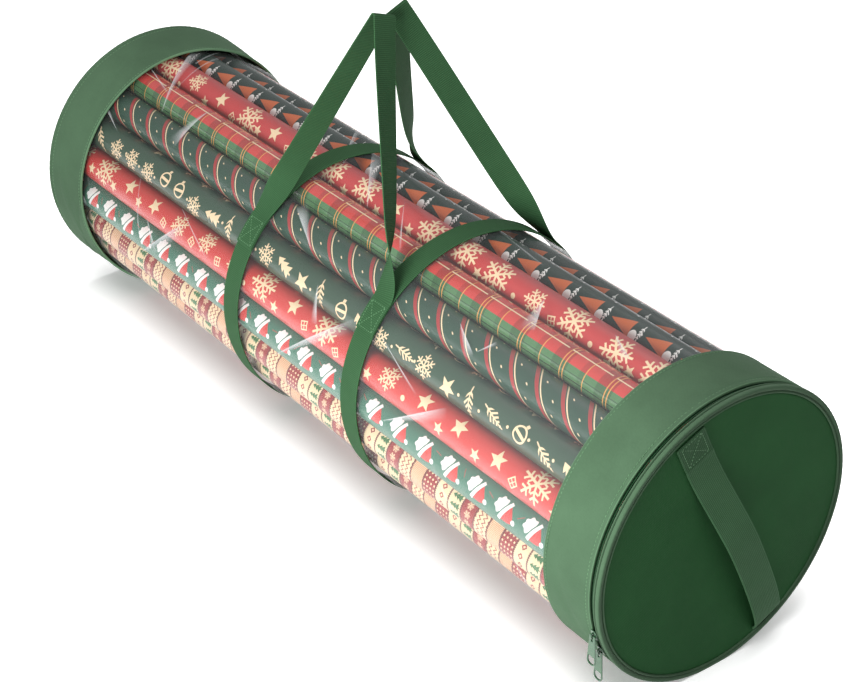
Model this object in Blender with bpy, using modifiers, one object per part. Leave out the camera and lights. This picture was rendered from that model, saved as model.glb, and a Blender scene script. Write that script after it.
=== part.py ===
"""Gift wrap organizer: a clear round bag with a zipped lid, webbing bands and handles, and its rolls.

The bag lies along X with its lid at +X, its near side at -Y and the floor at Z = 0.
Angles round the bag run from +Y up towards +Z, so 90 degrees is the top and 180 the near side.
"""

import math

import bmesh
import bpy
from mathutils import Matrix, Vector

# Whole bag
OUTER_RADIUS = 0.156
FLAT_DEPTH = 0.0013
CLEARANCE = 0.0003
OVERRUN = 0.02
WELD_DISTANCE = 0.000001
RING_STEPS = 64

# Clear sheet and collars
SHEET_THICKNESS = 0.0008
SHEET_LAP = 0.012
COLLAR_THICKNESS = 0.0031
COLLAR_EDGE = 0.0012
FRONT_COLLAR_LENGTH = 0.065
REAR_COLLAR_LENGTH = 0.070

# Hoops inside the collars
HOOP_THICKNESS = 0.0028
HOOP_WIDTH = 0.012

# Closed end
BASE_BINDING_WIDTH = 0.006
BASE_BINDING_DEPTH = 0.0075
PANEL_THICKNESS = 0.0012
PANEL_RECESS = 0.0015
BOARD_THICKNESS = 0.002

# Lid and zip
PIPING_WIDTH = 0.008
PIPING_DEPTH = 0.0075
PIPING_EDGE = 0.002
PIPING_TAPE_SLOT = 0.003
GROOVE_WIDTH = 0.005
TAPE_THICKNESS = 0.0007
TAPE_SEAM = 0.010
CHAIN_WIDTH = 0.0012
CHAIN_THICKNESS = 0.0014
CHAIN_SPLIT = 0.0014
HINGE_ANGLE = math.radians(25)
HINGE_HALF_SWEEP = math.radians(12)
HINGE_STRIP_THICKNESS = 0.0012
ZIP_STOP_SWEEP = math.radians(1)

# Zip sliders and pulls
SLIDER_ANGLES = (math.radians(198), math.radians(207))
SLIDER_LENGTH = 0.012
SLIDER_WIDTH = 0.0084
SLIDER_NECK_WIDTH = 0.0044
SLIDER_POST_WIDTH = 0.0008
SLIDER_PLATE = 0.0009
CHAIN_CLEARANCE = 0.0005
PLATE_CLEARANCE = 0.0004
BAIL_LENGTH = 0.0084
BAIL_WALL = 0.0014
BAIL_THICKNESS = 0.0016
BAIL_OPENING = 0.0031
BAIL_TOP = 0.0011
BAIL_ROOT = 0.0003
BAIL_CORNER = 0.0007
PULL_THICKNESS = 0.0016
PULL_BAR = 0.0016
PULL_TOP_WIDTH = 0.0066
PULL_END_WIDTH = 0.0104
PULL_LENGTH = 0.0305
PULL_CORNER = 0.003
PULL_WINDOW_LENGTH = 0.0055
PULL_HOLE_WIDTH = 0.0058
PULL_HOLE_LENGTH = 0.007
PULL_HOLE_RIM = 0.0022
PULL_HOLE_CORNER = 0.002
CORNER_STEPS = 3

# Lid handle
LID_HANDLE_WIDTH = 0.035
LID_HANDLE_THICKNESS = 0.0016
LID_HANDLE_OFFSET = 0.006
LID_HANDLE_BOW = 0.0165
LID_HANDLE_TILT = math.radians(25.5)
LID_HANDLE_SEAM_MARGIN = 0.0012
LID_HANDLE_STEPS = 28
LID_HANDLE_RISE_SHARES = (0.11, 0.56)
LID_HANDLE_FALL_SHARES = (0.66, 0.985)

# Webbing bands and carry handles
WEBBING_WIDTH = 0.028
WEBBING_THICKNESS = 0.0014
REAR_BAND_X = -0.111
FRONT_BAND_X = 0.115
TAB_ANGLE = math.radians(45)
TAB_LENGTH = 0.036
TAB_STEPS = 6
PEAK_HEIGHT = 0.361
NEAR_PEAK_X = 0.007
NEAR_PEAK_Y = -0.026
FAR_PEAK_X = -0.007
FAR_PEAK_Y = -0.001
FAR_PEAK_DROP = 0.003
FOLD_RADIUS = 0.0025
FOLD_STEPS = 6
LEG_STEPS = 16
LEG_LEAD = 0.03
LEG_TAIL = 0.09
LEG_SPREAD_POWER = 1.3
TWIST_EARLY_SHARE = 0.6
TWIST_REACH_SHARE = 0.16
TWIST_POWER = 2

# Rolls of wrap
ROLL_COUNT = 21
ROLL_LENGTH = 1.016
ROLL_WALL = 0.0042
ROLL_STEPS = 20
FIRST_ROLL_ANGLE = math.radians(94.2)
ROLL_END_GAP = 0.003

# Places that follow from the sizes above
AXIS_Z = OUTER_RADIUS - FLAT_DEPTH
END_DEPTH = PANEL_RECESS + PANEL_THICKNESS + CLEARANCE + BOARD_THICKNESS
BAG_LENGTH = ROLL_LENGTH + 2 * ROLL_END_GAP + 2 * END_DEPTH
BASE_FACE_X = -(BAG_LENGTH + LID_HANDLE_BOW + LID_HANDLE_THICKNESS) / 2
LID_FACE_X = BASE_FACE_X + BAG_LENGTH
PIPING_BACK_X = LID_FACE_X - PIPING_WIDTH
COLLAR_FRONT_X = PIPING_BACK_X - GROOVE_WIDTH
CHAIN_X = (PIPING_BACK_X + COLLAR_FRONT_X) / 2
FRONT_COLLAR_BACK_X = COLLAR_FRONT_X - FRONT_COLLAR_LENGTH
REAR_COLLAR_BACK_X = BASE_FACE_X + BASE_BINDING_WIDTH + CLEARANCE
REAR_COLLAR_FRONT_X = REAR_COLLAR_BACK_X + REAR_COLLAR_LENGTH
COLLAR_BORE = OUTER_RADIUS - COLLAR_THICKNESS
SEAM_RADIUS = COLLAR_BORE - CLEARANCE
TAPE_RADIUS = SEAM_RADIUS - TAPE_THICKNESS
HOOP_BORE = SEAM_RADIUS - HOOP_THICKNESS
BAND_RADIUS = SEAM_RADIUS + CLEARANCE
TAB_RADIUS = BAND_RADIUS + WEBBING_THICKNESS + CLEARANCE
PIPING_BORE = OUTER_RADIUS - PIPING_DEPTH
LID_PANEL_X = LID_FACE_X - PANEL_RECESS
LID_BOARD_X = LID_PANEL_X - PANEL_THICKNESS - CLEARANCE
BASE_PANEL_X = BASE_FACE_X + PANEL_RECESS
BASE_BOARD_X = BASE_PANEL_X + PANEL_THICKNESS + CLEARANCE
HOOP_GAP = TAPE_SEAM + CLEARANCE
ZIP_START = HINGE_ANGLE + HINGE_HALF_SWEEP
ZIP_SWEEP = 2 * math.pi - 2 * HINGE_HALF_SWEEP
FACET_SHARE = math.cos(math.pi / RING_STEPS)

CLOTH_GREEN = (0.085, 0.19, 0.10)
LID_GREEN = (0.035, 0.115, 0.048)
WEBBING_GREEN = (0.055, 0.16, 0.07)
ZIP_GREEN = (0.04, 0.12, 0.055)
SLIDER_GREEN = (0.10, 0.22, 0.13)
BOARD_GREY = (0.35, 0.34, 0.32)
HOOP_WHITE = (0.75, 0.76, 0.74)
SHEET_CLEAR = (0.92, 0.94, 0.95)
ROLL_COLOURS = (
    (0.03, 0.09, 0.06),
    (0.55, 0.06, 0.06),
    (0.62, 0.12, 0.08),
    (0.05, 0.13, 0.10),
    (0.07, 0.15, 0.11),
    (0.60, 0.10, 0.09),
    (0.04, 0.20, 0.15),
    (0.70, 0.52, 0.36),
)


def clear_scene():
    """Remove every object that the file starts with."""
    for thing in list(bpy.data.objects):
        bpy.data.objects.remove(thing)


def new_collection(name):
    """A collection in the scene."""
    group = bpy.data.collections.new(name)
    bpy.context.scene.collection.children.link(group)
    return group


clear_scene()
PARTS = new_collection("gift_wrap_organizer")
CUTTERS = new_collection("cutters")


def material(name, colour, roughness, metallic=0, alpha=1):
    """A Principled material, made once for each name."""
    made = bpy.data.materials.get(name)
    if made is None:
        made = bpy.data.materials.new(name)
        made.use_nodes = True
        shader = made.node_tree.nodes["Principled BSDF"]
        shader.inputs["Base Color"].default_value = (*colour, 1)
        shader.inputs["Roughness"].default_value = roughness
        shader.inputs["Metallic"].default_value = metallic
        shader.inputs["Alpha"].default_value = alpha
    return made


def empty(name, matrix, parent=None):
    """An empty that carries pieces, at a place in the world."""
    made = bpy.data.objects.new(name, None)
    PARTS.objects.link(made)
    made.parent = parent
    bpy.context.view_layer.update()
    made.matrix_world = matrix
    bpy.context.view_layer.update()
    return made


def add_object(name, data, parent, matrix, look):
    """A named piece that rides on an empty, at a place in the world."""
    made = bpy.data.objects.new(name, data)
    PARTS.objects.link(made)
    made.parent = parent
    made.matrix_world = matrix
    data.materials.append(look)
    return made


# Local Z of a turned piece is the bag's axis, and its local X points along +Y of the world
AXIS_TURN = Matrix(((0, 0, 1), (1, 0, 0), (0, 1, 0))).to_4x4()
BAG_AXIS = Matrix.Translation((0, 0, AXIS_Z)) @ AXIS_TURN


def round_place(angle, radius, x=0):
    """The world point at an angle and radius round the bag's axis."""
    return Vector((x, radius * math.cos(angle), AXIS_Z + radius * math.sin(angle)))


def line_mesh(name, points, closed):
    """A mesh of edges only, for a profile."""
    edges = [(k, k + 1) for k in range(len(points) - 1)]
    if closed:
        edges.append((len(points) - 1, 0))
    mesh = bpy.data.meshes.new(name)
    mesh.from_pydata(points, edges, [])
    return mesh


def add_screw(thing, sweep, steps):
    """Turn a profile round its local Z."""
    turn = thing.modifiers.new("turn", "SCREW")
    turn.axis = "Z"
    turn.angle = sweep
    turn.steps = steps
    turn.render_steps = steps
    turn.use_merge_vertices = True
    turn.merge_threshold = WELD_DISTANCE
    turn.use_smooth_shade = True
    return turn


def add_thickness(thing, thickness, offset):
    """Give an open sheet its thickness."""
    wall = thing.modifiers.new("thickness", "SOLIDIFY")
    wall.thickness = thickness
    wall.offset = offset
    wall.use_even_offset = True
    return wall


def turned(name, parent, outline, look, steps=RING_STEPS, matrix=BAG_AXIS):
    """A ring turned from a closed outline of (x, radius), outer side first, from the lid end back."""
    points = [(radius, 0, x) for x, radius in outline]
    ring = add_object(name, line_mesh(name, points, True), parent, matrix, look)
    add_screw(ring, 2 * math.pi, steps)
    return ring


def turned_sheet(name, parent, back, front, radius, thickness, look, start=0, sweep=2 * math.pi, steps=RING_STEPS):
    """A band of even thickness round the axis, with radius its inner face."""
    points = [(radius, 0, front), (radius, 0, back)]
    matrix = BAG_AXIS @ Matrix.Rotation(start, 4, "Z")
    band = add_object(name, line_mesh(name, points, False), parent, matrix, look)
    add_screw(band, sweep, steps)
    add_thickness(band, thickness, 1)
    return band


def disc(name, parent, back, thickness, radius, look):
    """A flat round piece whose axis is the bag's."""
    bpy.ops.mesh.primitive_cylinder_add(vertices=RING_STEPS, radius=radius, depth=thickness)
    made = bpy.context.object
    made.name = name
    for group in list(made.users_collection):
        group.objects.unlink(made)
    PARTS.objects.link(made)
    made.parent = parent
    made.matrix_world = BAG_AXIS @ Matrix.Translation((0, 0, back + thickness / 2))
    made.data.materials.append(look)
    return made


def ribbon(name, parent, matrix, centres, widths, width, thickness, look):
    """A strap lofted along its centre line, each section turned to its own width direction."""
    inverse = matrix.inverted()
    points = []
    for centre, across in zip(centres, widths):
        points.append(inverse @ (centre - across * (width / 2)))
        points.append(inverse @ (centre + across * (width / 2)))
    faces = [(2 * k, 2 * k + 1, 2 * k + 3, 2 * k + 2) for k in range(len(centres) - 1)]
    mesh = bpy.data.meshes.new(name)
    mesh.from_pydata(points, [], faces)
    mesh.shade_smooth()
    strap = add_object(name, mesh, parent, matrix, look)
    add_thickness(strap, thickness, 0)
    return strap


def rounded(corners, radius):
    """An outline whose corners are arcs. A corner is (x, y) or (x, y, own radius)."""
    points = []
    for k, corner in enumerate(corners):
        here = Vector(corner[:2])
        before = (Vector(corners[k - 1][:2]) - here).normalized()
        after = (Vector(corners[(k + 1) % len(corners)][:2]) - here).normalized()
        own = corner[2] if len(corner) > 2 else radius
        if own == 0:
            points.append(here)
            continue
        half = before.angle(after) / 2
        reach = own / math.tan(half)
        centre = here + (before + after).normalized() * (own / math.sin(half))
        first = here + before * reach - centre
        last = here + after * reach - centre
        turn = first.angle_signed(last)
        for step in range(CORNER_STEPS + 1):
            points.append(centre + Matrix.Rotation(-turn * step / CORNER_STEPS, 2) @ first)
    return points


def face_mesh(name, outline, turn):
    """A mesh of one flat face from an outline in X and Y, turned to its place."""
    mesh = bpy.data.meshes.new(name)
    mesh.from_pydata([(place[0], place[1], 0) for place in outline], [], [range(len(outline))])
    mesh.transform(turn)
    return mesh


def plate(name, outlines, thickness):
    """A mesh of a flat plate in local X and Y from filled outlines, the later ones holes in the first."""
    curve = bpy.data.curves.new(name, "CURVE")
    curve.dimensions = "2D"
    curve.fill_mode = "BOTH"
    curve.extrude = thickness / 2
    for outline in outlines:
        spline = curve.splines.new("POLY")
        spline.points.add(len(outline) - 1)
        for point, place in zip(spline.points, outline):
            point.co = (place[0], place[1], 0, 1)
        spline.use_cyclic_u = True
    shape = bpy.data.objects.new(name, curve)
    CUTTERS.objects.link(shape)
    solid = welded_mesh(shape, name)
    bpy.data.objects.remove(shape)
    return solid


def welded_mesh(thing, name):
    """The evaluated mesh of an object, with its loose caps welded."""
    graph = bpy.context.evaluated_depsgraph_get()
    mesh = bpy.data.meshes.new_from_object(thing.evaluated_get(graph))
    mesh.name = name
    work = bmesh.new()
    work.from_mesh(mesh)
    bmesh.ops.remove_doubles(work, verts=work.verts, dist=WELD_DISTANCE)
    bmesh.ops.recalc_face_normals(work, faces=work.faces)
    work.to_mesh(mesh)
    work.free()
    return mesh


def floor_cutter():
    """A block whose top is the floor, which flattens the round ends where they rest."""
    bpy.ops.mesh.primitive_cube_add(size=1)
    block = bpy.context.object
    block.name = "floor_cutter"
    for group in list(block.users_collection):
        group.objects.unlink(block)
    CUTTERS.objects.link(block)
    length = BAG_LENGTH + 2 * OVERRUN
    block.data.transform(Matrix.Diagonal((length, 2 * OUTER_RADIUS, OVERRUN, 1)))
    block.location = (0, 0, -OVERRUN / 2)
    block.hide_render = True
    block.display_type = "WIRE"
    return block


def flatten_below(thing, cutter):
    """Cut a round piece flat where it rests on the floor."""
    cut = thing.modifiers.new("floor flat", "BOOLEAN")
    cut.operation = "DIFFERENCE"
    cut.solver = "EXACT"
    cut.object = cutter


def collar_outline(back, front):
    """A collar's section, its outer edges eased."""
    return (
        (front, OUTER_RADIUS - COLLAR_EDGE),
        (front - COLLAR_EDGE, OUTER_RADIUS),
        (back + COLLAR_EDGE, OUTER_RADIUS),
        (back, OUTER_RADIUS - COLLAR_EDGE),
        (back, COLLAR_BORE),
        (front, COLLAR_BORE),
    )


def make_body(axis, cutter):
    """The clear tube, its collars and hoops, and the closed end."""
    cloth = material("cloth", CLOTH_GREEN, 0.75)
    clear = material("clear_sheet", SHEET_CLEAR, 0.08, alpha=0.2)
    hoop = material("hoop", HOOP_WHITE, 0.5)
    board = material("board", BOARD_GREY, 0.8)
    sheet_back = REAR_COLLAR_FRONT_X - SHEET_LAP
    sheet_front = FRONT_COLLAR_BACK_X + SHEET_LAP
    turned_sheet("clear_tube", axis, sheet_back, sheet_front, SEAM_RADIUS - SHEET_THICKNESS, SHEET_THICKNESS, clear)
    front = turned("front_collar", axis, collar_outline(FRONT_COLLAR_BACK_X, COLLAR_FRONT_X), cloth)
    rear = turned("rear_collar", axis, collar_outline(REAR_COLLAR_BACK_X, REAR_COLLAR_FRONT_X), cloth)
    hoop_front = COLLAR_FRONT_X - HOOP_GAP
    turned_sheet("front_hoop", axis, hoop_front - HOOP_WIDTH, hoop_front, HOOP_BORE, HOOP_THICKNESS, hoop)
    hoop_back = REAR_COLLAR_BACK_X + CLEARANCE
    turned_sheet("rear_hoop", axis, hoop_back, hoop_back + HOOP_WIDTH, HOOP_BORE, HOOP_THICKNESS, hoop)
    bore = OUTER_RADIUS - BASE_BINDING_DEPTH
    binding = turned("base_binding", axis, binding_outline(bore), cloth)
    disc("base_panel", axis, BASE_PANEL_X, PANEL_THICKNESS, bore - CLEARANCE, cloth)
    disc("base_board", axis, BASE_BOARD_X, BOARD_THICKNESS, bore - CLEARANCE, board)
    for piece in (front, rear, binding):
        flatten_below(piece, cutter)


def binding_outline(bore):
    """The bound rim of the closed end, its outer corner rounded off."""
    front = REAR_COLLAR_BACK_X - CLEARANCE
    return (
        (front, OUTER_RADIUS),
        (BASE_FACE_X + PIPING_EDGE, OUTER_RADIUS),
        (BASE_FACE_X, OUTER_RADIUS - PIPING_EDGE),
        (BASE_FACE_X, bore + PIPING_EDGE),
        (BASE_FACE_X + PIPING_EDGE, bore),
        (front, bore),
    )


def piping_outline():
    """The lid's rolled rim, with a slot behind it where the zip tape is sewn in."""
    slot = PIPING_BACK_X + PIPING_TAPE_SLOT
    return (
        (LID_FACE_X, OUTER_RADIUS - PIPING_EDGE),
        (LID_FACE_X - PIPING_EDGE, OUTER_RADIUS),
        (PIPING_BACK_X + PIPING_EDGE / 2, OUTER_RADIUS),
        (PIPING_BACK_X, OUTER_RADIUS - PIPING_EDGE / 2),
        (PIPING_BACK_X, COLLAR_BORE),
        (slot, COLLAR_BORE),
        (slot, PIPING_BORE),
        (LID_FACE_X - PIPING_EDGE, PIPING_BORE),
        (LID_FACE_X, PIPING_BORE + PIPING_EDGE),
    )


def make_lid(hinge, cutter):
    """The lid's face, board and rim."""
    lid_cloth = material("lid_cloth", LID_GREEN, 0.7)
    piping = material("piping", CLOTH_GREEN, 0.7)
    board = material("board", BOARD_GREY, 0.8)
    rim = turned("lid_binding", hinge, piping_outline(), piping)
    flatten_below(rim, cutter)
    radius = PIPING_BORE - CLEARANCE
    disc("lid_panel", hinge, LID_PANEL_X - PANEL_THICKNESS, PANEL_THICKNESS, radius, lid_cloth)
    disc("lid_board", hinge, LID_BOARD_X - BOARD_THICKNESS, BOARD_THICKNESS, radius, board)


def make_zip(axis, hinge):
    """The two tapes, the two rows of teeth, and the strip of cloth where the lid hangs."""
    tape = material("zip_tape", ZIP_GREEN, 0.8)
    teeth = material("zip_chain", ZIP_GREEN, 0.45)
    cloth = material("cloth", CLOTH_GREEN, 0.75)
    split = CHAIN_SPLIT / 2
    chain_radius = SEAM_RADIUS - TAPE_THICKNESS / 2 - CHAIN_THICKNESS / 2
    collar_chain = (CHAIN_X - split - CHAIN_WIDTH, CHAIN_X - split)
    lid_chain = (CHAIN_X + split, CHAIN_X + split + CHAIN_WIDTH)
    steps = round(RING_STEPS * ZIP_SWEEP / (2 * math.pi))
    arc = {"start": ZIP_START, "sweep": ZIP_SWEEP, "steps": steps}
    tape_front = collar_chain[0] - CLEARANCE
    turned_sheet("collar_zip_tape", axis, COLLAR_FRONT_X - TAPE_SEAM, tape_front, TAPE_RADIUS, TAPE_THICKNESS, tape, **arc)
    turned_sheet("collar_zip_chain", axis, *collar_chain, chain_radius, CHAIN_THICKNESS, teeth, **arc)
    turned_sheet("lid_zip_chain", hinge, *lid_chain, chain_radius, CHAIN_THICKNESS, teeth, **arc)
    tape_back = lid_chain[1] + CLEARANCE
    tape_end = PIPING_BACK_X + PIPING_TAPE_SLOT - CLEARANCE
    turned_sheet("lid_zip_tape", hinge, tape_back, tape_end, TAPE_RADIUS, TAPE_THICKNESS, tape, **arc)
    strip_start = HINGE_ANGLE - HINGE_HALF_SWEEP + ZIP_STOP_SWEEP
    strip_sweep = 2 * (HINGE_HALF_SWEEP - ZIP_STOP_SWEEP)
    strip_steps = round(RING_STEPS * strip_sweep / (2 * math.pi))
    turned_sheet(
        "lid_hinge_strip",
        axis,
        COLLAR_FRONT_X + CLEARANCE,
        PIPING_BACK_X - CLEARANCE,
        OUTER_RADIUS - COLLAR_EDGE - HINGE_STRIP_THICKNESS,
        HINGE_STRIP_THICKNESS,
        cloth,
        start=strip_start,
        sweep=strip_sweep,
        steps=strip_steps,
    )


def slider_outline():
    """A slider's section across the zip: inner plate, post between the teeth, neck and outer plate."""
    chain_low = SEAM_RADIUS - TAPE_THICKNESS / 2 - CHAIN_THICKNESS / 2
    low_top = chain_low * FACET_SHARE - CHAIN_CLEARANCE
    low_bottom = low_top - SLIDER_PLATE
    neck_bottom = chain_low + CHAIN_THICKNESS + CHAIN_CLEARANCE
    plate_bottom = OUTER_RADIUS + PLATE_CLEARANCE
    plate_top = plate_bottom + SLIDER_PLATE
    half, neck, post = SLIDER_WIDTH / 2, SLIDER_NECK_WIDTH / 2, SLIDER_POST_WIDTH / 2
    right = [
        (half, low_bottom),
        (half, low_top),
        (post, low_top),
        (post, neck_bottom),
        (neck, neck_bottom),
        (neck, plate_bottom),
        (half, plate_bottom),
        (half, plate_top),
    ]
    left = [(-x, z) for x, z in reversed(right)]
    return right + left, plate_top


def bail_outline(plate_top):
    """The arch on a slider that the pull hangs from, seen from the side."""
    outer, inner = BAIL_LENGTH / 2, BAIL_LENGTH / 2 - BAIL_WALL
    root = plate_top - BAIL_ROOT
    opening_top = plate_top + BAIL_OPENING
    top = opening_top + BAIL_TOP
    corner = BAIL_CORNER + BAIL_TOP
    return rounded(
        (
            (outer, root, 0),
            (outer, top, corner),
            (-outer, top, corner),
            (-outer, root, 0),
            (-inner, root, 0),
            (-inner, opening_top, BAIL_CORNER),
            (inner, opening_top, BAIL_CORNER),
            (inner, root, 0),
        ),
        0,
    )


def pull_outlines():
    """The pull's outline, its window round the bail and the hole at its end, hanging along -Y."""
    bar, top, end = PULL_BAR / 2, PULL_TOP_WIDTH / 2, PULL_END_WIDTH / 2
    foot = -PULL_LENGTH
    outer = rounded(
        ((top, bar, bar), (-top, bar, bar), (-end, foot, PULL_CORNER), (end, foot, PULL_CORNER)),
        bar,
    )
    slot = BAIL_THICKNESS / 2 + CLEARANCE
    window_end = -bar - PULL_WINDOW_LENGTH
    window = [(slot, -bar), (-slot, -bar), (-slot, window_end), (slot, window_end)]
    hole = PULL_HOLE_WIDTH / 2
    low = foot + PULL_HOLE_RIM
    high = low + PULL_HOLE_LENGTH
    small = PULL_HOLE_CORNER / 2
    opening = rounded(
        ((hole, high, small), (-hole, high, small), (-hole, low, PULL_HOLE_CORNER), (hole, low, PULL_HOLE_CORNER)),
        small,
    )
    return outer, window, opening


def make_sliders(axis):
    """Two sliders with their pulls, parked nose to nose and hanging straight down."""
    body_look = material("slider", SLIDER_GREEN, 0.35, metallic=0.3)
    pull_look = material("pull", SLIDER_GREEN, 0.4, metallic=0.2)
    outline, plate_top = slider_outline()
    bar_radius = plate_top + BAIL_OPENING / 2
    upright = Matrix.Rotation(math.pi / 2, 4, "X")
    across = Matrix.Rotation(math.pi / 2, 4, "Z") @ upright
    tab = plate("pull", pull_outlines(), PULL_THICKNESS)
    tab.transform(upright)
    for number, angle in enumerate(SLIDER_ANGLES, 1):
        place = Matrix.Translation((CHAIN_X, 0, AXIS_Z)) @ Matrix.Rotation(angle - math.pi / 2, 4, "X")
        carrier = empty(f"slider_axis_{number}", place, axis)
        slider = add_object(f"zip_slider_{number}", face_mesh("slider", outline, upright), carrier, place, body_look)
        add_thickness(slider, SLIDER_LENGTH, 0)
        arch = bpy.data.objects.new(f"bail_{number}", face_mesh("bail", bail_outline(plate_top), across))
        CUTTERS.objects.link(arch)
        arch.matrix_world = place
        arch.hide_render = True
        arch.display_type = "WIRE"
        add_thickness(arch, BAIL_THICKNESS, 0)
        join(slider, arch)
        hang = Matrix.Translation(round_place(angle, bar_radius, CHAIN_X))
        pivot = empty(f"pull_axis_{number}", hang, carrier)
        add_object(f"zip_pull_{number}", tab.copy(), pivot, hang, pull_look)


def join(target, tool):
    """Weld a second closed shape into a piece."""
    union = target.modifiers.new("union", "BOOLEAN")
    union.operation = "UNION"
    union.solver = "EXACT"
    union.object = tool


def ease(value):
    """Smooth step from 0 to 1."""
    share = min(1, max(0, value))
    return share * share * (3 - 2 * share)


def lid_handle_path():
    """The lid strap's centre line and width directions: flat at both sewn ends, bowed between them."""
    seam = PIPING_BORE - CLEARANCE - LID_HANDLE_SEAM_MARGIN
    corner = LID_HANDLE_OFFSET + LID_HANDLE_WIDTH / 2
    half = math.sqrt(seam * seam - corner * corner)
    down = Vector((0, math.sin(LID_HANDLE_TILT), -math.cos(LID_HANDLE_TILT)))
    across = Vector((0, math.cos(LID_HANDLE_TILT), math.sin(LID_HANDLE_TILT)))
    rest = LID_PANEL_X + CLEARANCE + LID_HANDLE_THICKNESS / 2
    rise = LID_FACE_X + LID_HANDLE_BOW + LID_HANDLE_THICKNESS / 2 - rest
    middle = Vector((0, 0, AXIS_Z)) + across * LID_HANDLE_OFFSET
    centres = []
    for step in range(LID_HANDLE_STEPS + 1):
        share = step / LID_HANDLE_STEPS
        up = ease((share - LID_HANDLE_RISE_SHARES[0]) / (LID_HANDLE_RISE_SHARES[1] - LID_HANDLE_RISE_SHARES[0]))
        back = ease((LID_HANDLE_FALL_SHARES[1] - share) / (LID_HANDLE_FALL_SHARES[1] - LID_HANDLE_FALL_SHARES[0]))
        out = Vector((rest + rise * up * back, 0, 0))
        centres.append(middle + out + down * (half * (2 * share - 1)))
    return centres, [across] * len(centres)


def make_lid_handle(hinge):
    """The webbing strap across the lid."""
    centres, widths = lid_handle_path()
    look = material("lid_webbing", WEBBING_GREEN, 0.8)
    ribbon("lid_handle", hinge, BAG_AXIS, centres, widths, LID_HANDLE_WIDTH, LID_HANDLE_THICKNESS, look)


def bezier(a, b, c, d, share):
    """A point on a cubic curve and its direction."""
    rest = 1 - share
    point = a * rest**3 + b * 3 * rest * rest * share + c * 3 * rest * share * share + d * share**3
    slope = (b - a) * rest * rest + (c - b) * 2 * rest * share + (d - c) * share * share
    return point, slope.normalized()


def handle_leg(side, foot_x, peak, end, outward):
    """One leg of a carry handle, from its tab to the fold, and the way its width turns as it climbs."""
    radius = TAB_RADIUS + WEBBING_THICKNESS / 2
    angle = math.pi - TAB_ANGLE if side < 0 else TAB_ANGLE
    start_angle = angle + side * (CLEARANCE / radius)
    foot = round_place(start_angle, radius, foot_x)
    leave = Vector((0, -side * math.sin(TAB_ANGLE), math.cos(TAB_ANGLE)))
    climb = (peak - foot).normalized()
    middle, last = foot + leave * LEG_LEAD, end - climb * LEG_TAIL
    shares = [(step / LEG_STEPS) ** LEG_SPREAD_POWER for step in range(LEG_STEPS + 1)]
    places = [bezier(foot, middle, last, end, share) for share in shares]
    lengths = [0]
    for (before, _), (here, _) in zip(places, places[1:]):
        lengths.append(lengths[-1] + (here - before).length)
    widths = []
    for (_, along), length in zip(places, lengths):
        share = length / lengths[-1]
        early = 1 - math.exp(-((share / TWIST_REACH_SHARE) ** TWIST_POWER))
        twist = math.pi / 2 * early * (TWIST_EARLY_SHARE + (1 - TWIST_EARLY_SHARE) * share)
        flat = (Vector((1, 0, 0)) - along * along.x).normalized()
        level = along.cross(flat)
        if level.y < 0:
            level.negate()
        widths.append(flat * (outward * math.cos(twist)) + level * math.sin(twist))
    return [point for point, _ in places], widths


def fold(side, peak, legs_rise):
    """The crease at the top of a handle: where each leg ends, and the few sections over the top."""
    foot = round_place(math.pi - TAB_ANGLE if side < 0 else TAB_ANGLE, TAB_RADIUS)
    lean = Vector((0, peak.y - foot.y, peak.z - foot.z)).normalized()
    centre = peak - lean * FOLD_RADIUS
    points = []
    for step in range(FOLD_STEPS + 1):
        turn = legs_rise * (1 - 2 * step / FOLD_STEPS)
        points.append(centre + Vector((-math.sin(turn), 0, 0)) * FOLD_RADIUS + lean * (math.cos(turn) * FOLD_RADIUS))
    level = Vector((1, 0, 0)).cross(lean)
    if level.y < 0:
        level.negate()
    return points, level


def carry_handle(name, side, peak, parent):
    """A carry handle: up from the rear band, over the fold and down to the front band."""
    reach = PEAK_HEIGHT - TAB_RADIUS * math.sin(TAB_ANGLE)
    rise = math.atan2(reach, (FRONT_BAND_X - REAR_BAND_X) / 2)
    top, level = fold(side, peak, rise)
    rear_centres, rear_widths = handle_leg(side, REAR_BAND_X, peak, top[0], -side)
    front_centres, front_widths = handle_leg(side, FRONT_BAND_X, peak, top[-1], side)
    centres = rear_centres[:-1] + top + front_centres[-2::-1]
    widths = rear_widths[:-1] + [level] * len(top) + front_widths[-2::-1]
    look = material("webbing", WEBBING_GREEN, 0.8)
    ribbon(name, parent, parent.matrix_world.copy(), centres, widths, WEBBING_WIDTH, WEBBING_THICKNESS, look)


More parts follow.
